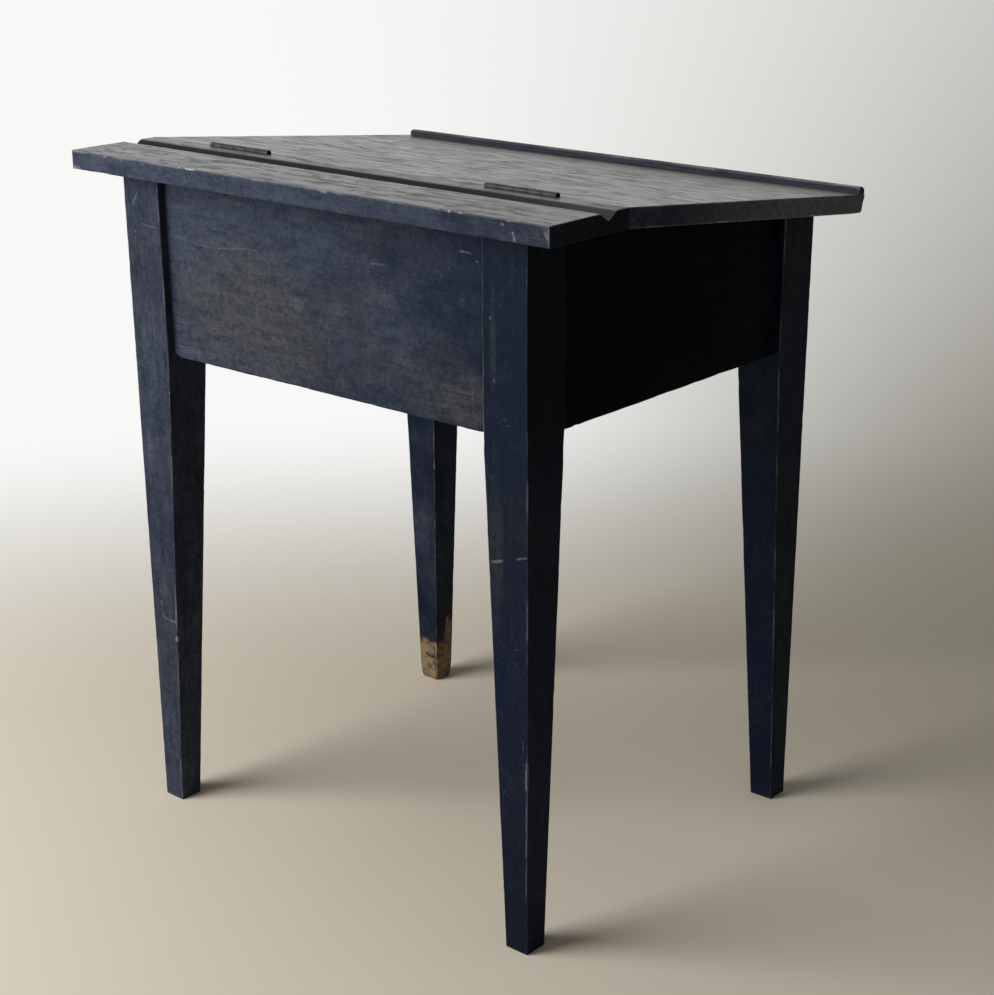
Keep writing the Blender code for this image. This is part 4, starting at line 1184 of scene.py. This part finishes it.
def cut_away(piece, cutters):
    """Cuts closed shapes out of a piece that has no place of its own."""
    for cutter in cutters:
        modifier = piece.modifiers.new(cutter.name, "BOOLEAN")
        modifier.object = cutter
        modifier.operation = "DIFFERENCE"
        modifier.solver = "EXACT"
    graph = bpy.context.evaluated_depsgraph_get()
    cut = bpy.data.meshes.new_from_object(piece.evaluated_get(graph))
    piece.modifiers.clear()
    piece.data = cut
    for cutter in cutters:
        bpy.data.objects.remove(cutter)


def hinge_cutters():
    """Shapes of the hinges' recesses: a cove for each barrel, over a slot for its two leaves."""
    cutters = []
    for side in SIDES:
        low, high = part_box(f"hinge_leaf_fixed_{side}")
        start, end = low.x - FIT_GAP, high.x + FIT_GAP
        bottom, top = low.z - FIT_GAP, HINGE_AXIS.z + CUT_MARGIN
        radius = HINGE_AXIS.y - low.y + COVE_GAP
        lying = Matrix.Rotation(math.pi / 2, 4, "Y")
        cove = bmesh.new()
        bmesh.ops.create_cone(
            cove, cap_ends=True, segments=BARREL_SIDES, depth=end - start, radius1=radius, radius2=radius,
            matrix=Matrix.Translation(((start + end) / 2, HINGE_AXIS.y, HINGE_AXIS.z)) @ lying,
        )
        size = Matrix.Diagonal((end - start, 2 * (LEAF_SEAT + FIT_GAP), top - bottom, 1.0))
        slot = bmesh.new()
        bmesh.ops.create_cube(
            slot, size=1.0,
            matrix=Matrix.Translation(((start + end) / 2, HINGE_AXIS.y, (bottom + top) / 2)) @ size,
        )
        cutters.append(add_mesh(f"hinge_cove_{side}", cove))
        cutters.append(add_mesh(f"hinge_slot_{side}", slot))
    return cutters


def inside_faces_bare(bm, inward):
    """Gives the second material to faces that look into the box."""
    bm.normal_update()
    for face in bm.faces:
        face.material_index = 1 if face.normal.dot(inward) > LOOKS_ALONG else 0


def board_faces(bm, low, high):
    """Gives a board's top the first material, its edges the second and its underside the third.

    The underside's own material starts some way in, over the box, and its border is painted with the edges.
    """
    bm.normal_update()
    for face in bm.faces:
        middle = face.calc_center_median()
        space = min(middle.x - low.x, high.x - middle.x, middle.y - low.y)
        if face.normal.z > LOOKS_UP:
            face.material_index = 0
        elif face.normal.z < -LOOKS_ALONG and space > PAINTED_BORDER:
            face.material_index = 2
        else:
            face.material_index = 1


# Height up to which a leg's points are its foot's
FOOT_LEVEL = 0.002

# Paint of the legs: how dark each is, partly well kept paint and partly painted shade that deepens away from the
# light, how clean it is, how it has worn, and the strength of the painted shade on a side that looks left
LEG_KEPT_AND_SHADE = {"leg_front_left": 0.46, "leg_front_right": 0.30, "leg_back_left": 0.12, "leg_back_right": 0.02}
LEG_CLEAN = {"left": 0.645, "right": 0.67}
LEG_RUB = 0.0024
LEG_CHIPS = 0.4
SIDE_SHADE_STRENGTH = 0.95


class DESK_OT_legs(Operator):
    """Four worn legs, square beside the box and tapered below it, one with a bare foot"""

    bl_idname = "desk.legs"
    bl_label = "Legs"

    def execute(self, context):
        for end, end_sign in ENDS.items():
            for side, side_sign in SIDES.items():
                self.make_leg(context.scene, f"leg_{end}_{side}", side, side_sign, end_sign)
        return {"FINISHED"}

    def make_leg(self, scene, node, side, side_sign, end_sign):
        wear = scene.desk_wear
        low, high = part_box(node)
        places = block_cuts(low, high, FACE_STEP, FACE_STEP, LONG_STEP)
        places[Z] = cut_places(low.z, high.z, LONG_STEP, [KNEE])
        bm = cut_block(low, high, places)
        foot = wear.foot if node == BARE_NODE else 0.0
        wear_block(bm, low, high, wear.edge, LEG_CHIPS * wear.chip, [(Z, 1)], foot=foot)
        verts = frame["nodes"][node].data.vertices
        foot_points = [vert.co.x for vert in verts if vert.co.z < FOOT_LEVEL]
        foot_share = (max(foot_points) - min(foot_points)) / (high.x - low.x)
        corner_x = low.x if side_sign < 0 else high.x
        corner_y = low.y if end_sign < 0 else high.y
        for vert in bm.verts:
            scale = 1.0 - (1.0 - foot_share) * max(0.0, (KNEE - vert.co.z) / KNEE)
            vert.co.x = corner_x + (vert.co.x - corner_x) * scale
            vert.co.y = corner_y + (vert.co.y - corner_y) * scale
            rise = max(0.0, vert.co.z - KNEE) / (high.z - KNEE)
            vert.co.z += rise * (seat_height(vert.co.y) - high.z)
        # The back left leg's left side is painted into shade above the knee
        layers = {BARE_NODE: [bare_foot], "leg_back_left": [painted_side_shade(low.x, SIDE_SHADE_STRENGTH)]}
        finish = material(
            f"worn_{node}_paint", paint_material, Z, scene.desk_paint, node=node, kept=LEG_KEPT_AND_SHADE[node],
            clean=LEG_CLEAN[side], rub=LEG_RUB, layers=layers.get(node, ()),
        )
        add_piece(f"worn_{node}", bm, CARCASS, [finish], [node])


# Each panel's direction, the legs that it runs between, and the way that it faces inward
PANEL_RUNS = {
    "front": (X, "leg_front_left", "leg_front_right", (0, 1, 0)),
    "back": (X, "leg_back_left", "leg_back_right", (0, -1, 0)),
    "left": (Y, "leg_front_left", "leg_back_left", (1, 0, 0)),
    "right": (Y, "leg_front_right", "leg_back_right", (-1, 0, 0)),
}
PANEL_ROUNDING = 1.4
PANEL_KEPT = -0.06
# Share of the gloss left on the left panel, which is painted into shade
SIDE_SHADE_SHINE = 0.3


class DESK_OT_panels(Operator):
    """Four panels of the box, painted outside and bare inside"""

    bl_idname = "desk.panels"
    bl_label = "Panels"

    def execute(self, context):
        for place, run in PANEL_RUNS.items():
            self.make_panel(context.scene, place, *run)
        return {"FINISHED"}

    def make_panel(self, scene, place, along, first, last, inward):
        wear = scene.desk_wear
        node = f"panel_{place}"
        low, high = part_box(node)
        low[along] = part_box(first)[1][along] + FIT_GAP
        high[along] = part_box(last)[0][along] - FIT_GAP
        high.z = max(seat_height(low.y), seat_height(high.y))
        bm = cut_block(low, high, block_cuts(low, high, FACE_STEP, FACE_STEP, FACE_STEP))
        crisp = [(along, -1), (along, 1), (Z, 1)]
        wear_block(bm, low, high, PANEL_ROUNDING * wear.edge, wear.chip, crisp, [(Z, -1)])
        for vert in bm.verts:
            share = (vert.co.z - low.z) / (high.z - low.z)
            vert.co.z += share * (seat_height(vert.co.y) - high.z)
            if place == "back":
                above = max(0.0, 1.0 - (vert.co.z - low.z) / (2.0 * WORN_CORNER))
                vert.co.z += above * round_drop(high.x - vert.co.x, WORN_CORNER)
        inside_faces_bare(bm, Vector(inward))
        # The left panel is painted into shade: near-black, with less gloss
        sheltered = place == "left"
        outside = material(
            f"{node}_paint", paint_material, along, scene.desk_paint, node=node, kept=PANEL_KEPT,
            layers=[painted_side_shade(low.x, SIDE_SHADE_STRENGTH)] if sheltered else [],
            shine=SIDE_SHADE_SHINE if sheltered else 1.0,
        )
        add_piece(f"worn_{node}", bm, CARCASS, [outside, pine_along(along)], [node])


PEN_EDGE_RUB = 0.0034
PEN_EDGE_KEPT = -0.20
# Strength of the painted shade on the pen board's left end
PEN_END_SHADE = 0.85
GROOVE_POLISH = 0.45
GROOVE_FACES = 3


class DESK_OT_pen_board(Operator):
    """The level board at the back, with its pen groove and the hinges' recesses"""

    bl_idname = "desk.pen_board"
    bl_label = "Pen Board"

    def execute(self, context):
        wear = context.scene.desk_wear
        paint = context.scene.desk_paint
        low, high = PEN_LOW, PEN_HIGH
        groove = groove_points()
        front, back = groove[0][0], groove[-1][0]
        steps = round((back - front) / GROOVE_STEP)
        fine = [front + (back - front) * index / steps for index in range(steps + 1)]
        before = cut_places(low.y, front, FACE_STEP)[: -len(EDGE_CUTS)]
        behind = cut_places(back, high.y, FACE_STEP)[CUTS_LEFT_OUT:]
        places = block_cuts(low, high, LONG_STEP, FACE_STEP, FACE_STEP)
        places[Y] = before + fine + behind
        bm = cut_block(low, high, places)
        wear_block(bm, low, high, wear.edge, wear.chip, [(Y, -1)], [(Z, -1)])
        board_faces(bm, low, high)
        # Faces of the groove behind its lit front get the groove's painted shade
        for face in bm.faces:
            share = (face.calc_center_median().y - front) / (back - front)
            if face.material_index == 0 and GROOVE_LIT < share < 1.0:
                face.material_index = GROOVE_FACES
        for vert in bm.verts:
            share = (vert.co.z - low.z) / (high.z - low.z)
            vert.co.z += share * (groove_top(groove, vert.co.y) - high.z)
        top = material("pen_board_paint", paint_material, X, paint, polish=1.0)
        # The board's edges, with its left end painted into shade
        edge = material(
            "pen_board_edge_paint", paint_material, X, paint, node="pen_board", kept=PEN_EDGE_KEPT,
            rub=PEN_EDGE_RUB, layers=[painted_side_shade(low.x, PEN_END_SHADE)],
        )
        # The groove's paint, darkened with painted shade
        sunk = material(
            "pen_groove_paint", paint_material, X, paint, polish=GROOVE_POLISH,
            layers=[groove_shade(front, back, high.z)],
        )
        finishes = [top, edge, edge, sunk]
        piece = add_piece("worn_pen_board", bm, CARCASS, finishes, ["pen_board"])
        cut_away(piece, hinge_cutters())
        return {"FINISHED"}


def groove_points():
    """Depth and height of each point of the pen groove's section, from the front."""
    low, high = PEN_LOW, PEN_HIGH
    section = {
        (round(vert.co.y, 6), vert.co.z)
        for vert in frame["nodes"]["pen_board"].data.vertices
        if vert.co.x > high.x - WELD_DISTANCE and vert.co.z > (low.z + high.z) / 2
    }
    start, end = low.y + FACE_STEP, high.y - BEHIND_GROOVE
    return sorted(point for point in section if start < point[0] < end)


def groove_top(groove, y):
    """Height of the pen board's top at a depth, from the points of its groove."""
    for (start, first), (end, last) in zip(groove, groove[1:]):
        if start <= y <= end:
            return first + (last - first) * (y - start) / (end - start)
    return PEN_HIGH.z


LID_EDGE_KEPT = -0.32
LID_EDGE_RUB = 0.0030
NOSE_DEPTH = 4.0 * LIP_NOSE


class DESK_OT_lid(Operator):
    """The sloping lid, one board of three glued planks, painted above and bare below"""

    bl_idname = "desk.lid"
    bl_label = "Lid"

    def execute(self, context):
        wear = context.scene.desk_wear
        paint = context.scene.desk_paint
        low, high = LID_LOW, LID_HIGH
        bm = cut_block(low, high, block_cuts(low, high, LONG_STEP, FACE_STEP, FACE_STEP))
        lip_high = lid_box("lid_lip")[1]

        def ease(place):
            """How far a place is rounded: not at all where the lip stands on the lid, and more below it."""
            if place.z < high.z - LIP_NOSE:
                return 1.0 + max(0.0, 1.0 - (place.y - low.y) / NOSE_DEPTH)
            if place.x > lip_high.x:
                return 1.0
            return min(1.0, max(0.0, (place.y - lip_high.y) / LIP_NOSE))

        wear_block(bm, low, high, wear.edge, wear.chip, [(Y, 1)], ease=ease)
        board_faces(bm, low, high)
        for vert in bm.verts:
            share = (vert.co.y - low.y) / (high.y - low.y)
            vert.co.y += share * vert.co.z * math.tan(LID_SLOPE)
        bmesh.ops.transform(bm, matrix=LID_PLACE, verts=bm.verts)
        top = material("lid_paint", paint_material, X, paint, polish=1.0, layers=[sleeve_rub])
        edge = material(
            "lid_edge_paint", paint_material, X, paint, kept=LID_EDGE_KEPT, rub=LID_EDGE_RUB,
            layers=[lift_wear_and_sheen],
        )
        finishes = [top, edge, pine_along(X)]
        piece = add_piece("worn_lid_board", bm, LID_BODY, finishes, PLANKS)
        cut_away(piece, hinge_cutters())
        return {"FINISHED"}


LIP_ROUNDING = 1.4
LIP_CHIPS = 0.25
LIP_PAINT = {"polish": 0.3, "kept": 0.40, "rub": 0.0034, "shine": 0.7}


class DESK_OT_lip(Operator):
    """The raised lip along the lid's low edge, rounded along its top and over its ends"""

    bl_idname = "desk.lip"
    bl_label = "Lip"

    def execute(self, context):
        wear = context.scene.desk_wear
        low, high = lid_box("lid_lip")
        bm = cut_block(low, high, block_cuts(low, high, LONG_STEP, GROOVE_STEP, GROOVE_STEP))
        wear_block(bm, low, high, LIP_ROUNDING * wear.edge, LIP_CHIPS * wear.chip, [(Z, -1)])
        height = high.z - low.z
        for vert in bm.verts:
            drop = round_drop(vert.co.y - low.y, LIP_NOSE) + round_drop(high.x - vert.co.x, LIP_END)
            vert.co.z = low.z + (vert.co.z - low.z) * max(0.0, 1.0 - drop / height)
        bmesh.ops.transform(bm, matrix=LID_PLACE, verts=bm.verts)
        finish = material("lip_paint", paint_material, X, context.scene.desk_paint, **LIP_PAINT)
        add_piece("worn_lid_lip", bm, LID_BODY, [finish], ["lid_lip"])
        return {"FINISHED"}


# Grain of each kind of bare pine that lies one way
PINE_GRAINS = {"floor_board": X, "corner_block": X, "lid_batten": Y}


class DESK_OT_inside(Operator):
    """Bare pine inside the box: floor boards, cleats, glued blocks and the lid's battens"""

    bl_idname = "desk.inside"
    bl_label = "Inside"

    def execute(self, context):
        ease = context.scene.desk_wear.joint
        for node, body in node_bodies():
            grain = pine_grain(node)
            if grain is not None:
                add_eased_node(node, body, pine_along(grain), ease)
        return {"FINISHED"}


def pine_grain(node):
    """Axis of the grain of a piece of bare pine, and None for other nodes. Cleats run along their panels."""
    kind, _, place = node.rpartition("_")
    if kind == "floor_cleat":
        return X if place in ENDS else Y
    return PINE_GRAINS.get(kind)


def node_bodies():
    """Each node's name with its body's name."""
    bodies = frame["record"]["behaviour"]["bodies"]
    return [(node, body) for body, members in bodies.items() for node in members]


def set_finish(node, finish):
    """Gives a node that stays in view one finish all over."""
    mesh = frame["nodes"][node].data
    mesh.materials.clear()
    mesh.materials.append(finish)


class DESK_OT_hinges(Operator):
    """Two iron butt hinges with their pins"""

    bl_idname = "desk.hinges"
    bl_label = "Hinges"

    def execute(self, context):
        finish = material("old_hinge_iron", iron_material, context.scene.desk_iron, HINGE_SHINE)
        for node, body in node_bodies():
            if node.startswith("hinge_leaf"):
                add_eased_node(node, body, finish, LEAF_EASE)
            elif node.startswith("hinge_pin"):
                set_finish(node, finish)
        return {"FINISHED"}


class DESK_OT_fasteners(Operator):
    """Screws and nails, in dull steel"""

    bl_idname = "desk.fasteners"
    bl_label = "Fasteners"

    def execute(self, context):
        finish = material("old_steel", iron_material, context.scene.desk_iron, FASTENER_SHINE)
        for node, _ in node_bodies():
            if "screw" in node or "nail" in node:
                set_finish(node, finish)
        return {"FINISHED"}


# The stage: each light's place and size, the floor's size and finish, and where the backdrop's shade sets in
WINDOW_PLACE = (1.15, 1.85, 1.55)
WINDOW_SIZE = 1.8
CEILING_PLACE = (0.0, 0.0, 3.4)
CEILING_SIZE = 3.2
FLOOR_REACH = 80.0
FLOOR_CLOUDS = ((3.0, 4.0, 0.6), (0.3, 0.7, 0.94, 1.0))
FLOOR_SHADE = 0.85
FLOOR_ROUGHNESS = 0.9
FLOOR_GLOSS = 0.1
SHADE_RANGE = (-0.15, 0.75)


class DESK_OT_stage(Operator):
    """Plain pale floor, soft window light and the camera"""

    bl_idname = "desk.stage"
    bl_label = "Stage"

    def execute(self, context):
        scene = context.scene
        stage = scene.desk_stage
        make_floor(stage)
        make_world(scene, stage)
        make_light("window_light", WINDOW_PLACE, WINDOW_SIZE, stage.key)
        make_light("ceiling_light", CEILING_PLACE, CEILING_SIZE, stage.ceiling)
        make_camera(scene, stage)
        scene.view_settings.view_transform = "Standard"
        return {"FINISHED"}


def make_floor(stage):
    """A plain floor that keeps the desk's shadow and runs into the backdrop some way off."""
    bm = bmesh.new()
    bmesh.ops.create_grid(bm, x_segments=1, y_segments=1, size=FLOOR_REACH)
    floor = add_mesh("floor", bm)
    plaster = Finish("floor_plaster")
    nodes = plaster.nodes
    tone = nodes.mask(plaster.place, *FLOOR_CLOUDS)
    color = nodes.mix(tone, opaque([FLOOR_SHADE * part for part in stage.floor]), opaque(stage.floor))
    nodes.feed(plaster.shader["Base Color"], color)
    plaster.shader["Roughness"].default_value = FLOOR_ROUGHNESS
    plaster.shader["Specular IOR Level"].default_value = FLOOR_GLOSS
    reach = nodes.vector("DISTANCE", plaster.place, tuple(stage.fade_centre))
    far = nodes.step(reach, stage.fade_start, stage.fade_end)
    away = nodes.vector("NORMALIZE", plaster.place)
    glow = nodes.add("ShaderNodeEmission", {"Color": backdrop_color(nodes, away, stage)})
    made = plaster.material.node_tree.nodes
    shaders = {1: made["Principled BSDF"].outputs[0], 2: glow.outputs[0]}
    join = nodes.add("ShaderNodeMixShader", {0: nodes.times(far, seen_directly(nodes)), **shaders})
    nodes.feed(made["Material Output"].inputs["Surface"], join.outputs[0])
    floor.data.materials.append(plaster.material)


def seen_directly(nodes):
    """One for the camera's rays and for those that mirrors and glass pass on, and nothing for other light."""
    path = nodes.add("ShaderNodeLightPath").outputs
    shown = nodes.plus(path["Is Camera Ray"], path["Is Glossy Ray"], clamp=True)
    return nodes.plus(shown, path["Is Transmission Ray"], clamp=True)


def backdrop_color(nodes, direction, stage):
    """Pale colour that falls off to the side away from the light."""
    side = nodes.vector("DOT_PRODUCT", direction, tuple(stage.shade_side))
    return nodes.mix(nodes.step(side, *SHADE_RANGE), opaque(stage.backdrop), opaque(stage.shade))


def make_world(scene, stage):
    """A pale backdrop for the camera and for reflections, and a dimmer soft light on the desk."""
    world = bpy.data.worlds.new("studio")
    scene.world = world
    world.use_nodes = True
    nodes = NodeTree(world.node_tree)
    back = world.node_tree.nodes["Background"]
    direction = nodes.add("ShaderNodeTexCoord").outputs["Generated"]
    nodes.feed(back.inputs["Color"], backdrop_color(nodes, direction, stage))
    nodes.feed(back.inputs["Strength"], nodes.blend(seen_directly(nodes), stage.ambient, 1.0))


def make_light(name, place, size, power):
    """A round soft light that looks at the middle of the desk."""
    light = bpy.data.lights.new(name, "AREA")
    light.shape = "DISK"
    light.size = size
    light.energy = power
    lamp = add_object(name, light)
    lamp.location = place
    aim = (CAD_BOX[0] + CAD_BOX[1]) / 2 - Vector(place)
    lamp.rotation_euler = aim.to_track_quat("-Z", "Y").to_euler()
    lamp.visible_camera = False


def make_camera(scene, stage):
    """The camera at the photograph's viewing angle."""
    data = bpy.data.cameras.new("photo_camera")
    data.lens = stage.lens
    data.shift_x, data.shift_y = stage.shift
    camera = add_object("photo_camera", data)
    camera.location = stage.camera
    camera.rotation_euler = stage.turn
    scene.camera = camera


PIECES = (
    DESK_OT_legs, DESK_OT_panels, DESK_OT_pen_board, DESK_OT_lid, DESK_OT_lip, DESK_OT_inside,
    DESK_OT_hinges, DESK_OT_fasteners, DESK_OT_stage,
)
SETTINGS = {
    "desk_paint": DeskPaint, "desk_wood": DeskWood, "desk_iron": DeskIron, "desk_wear": DeskWear,
    "desk_stage": DeskStage,
}


class DESK_PT_sidebar(Panel):
    """Lists the desk's pieces and settings"""

    bl_label = "School Desk"
    bl_idname = "DESK_PT_sidebar"
    bl_space_type = "VIEW_3D"
    bl_region_type = "UI"
    bl_category = "School Desk"

    def draw(self, context):
        for piece in PIECES:
            self.layout.operator(piece.bl_idname)
        for name, kind in SETTINGS.items():
            box = self.layout.box()
            for key in kind.__annotations__:
                box.prop(getattr(context.scene, name), key)


def register():
    for kind in SETTINGS.values():
        bpy.utils.register_class(kind)
    for name, kind in SETTINGS.items():
        setattr(bpy.types.Scene, name, PointerProperty(type=kind))
    for kind in (*PIECES, DESK_PT_sidebar):
        bpy.utils.register_class(kind)


def unregister():
    for kind in (DESK_PT_sidebar, *reversed(PIECES)):
        bpy.utils.unregister_class(kind)
    for name in SETTINGS:
        delattr(bpy.types.Scene, name)
    for kind in reversed(SETTINGS.values()):
        bpy.utils.unregister_class(kind)


def main():
    register()
    bpy.ops.desk.legs()
    bpy.ops.desk.panels()
    bpy.ops.desk.pen_board()
    bpy.ops.desk.lid()
    bpy.ops.desk.lip()
    bpy.ops.desk.inside()
    bpy.ops.desk.hinges()
    bpy.ops.desk.fasteners()
    bpy.ops.desk.stage()


if __name__ == "__main__":
    main()
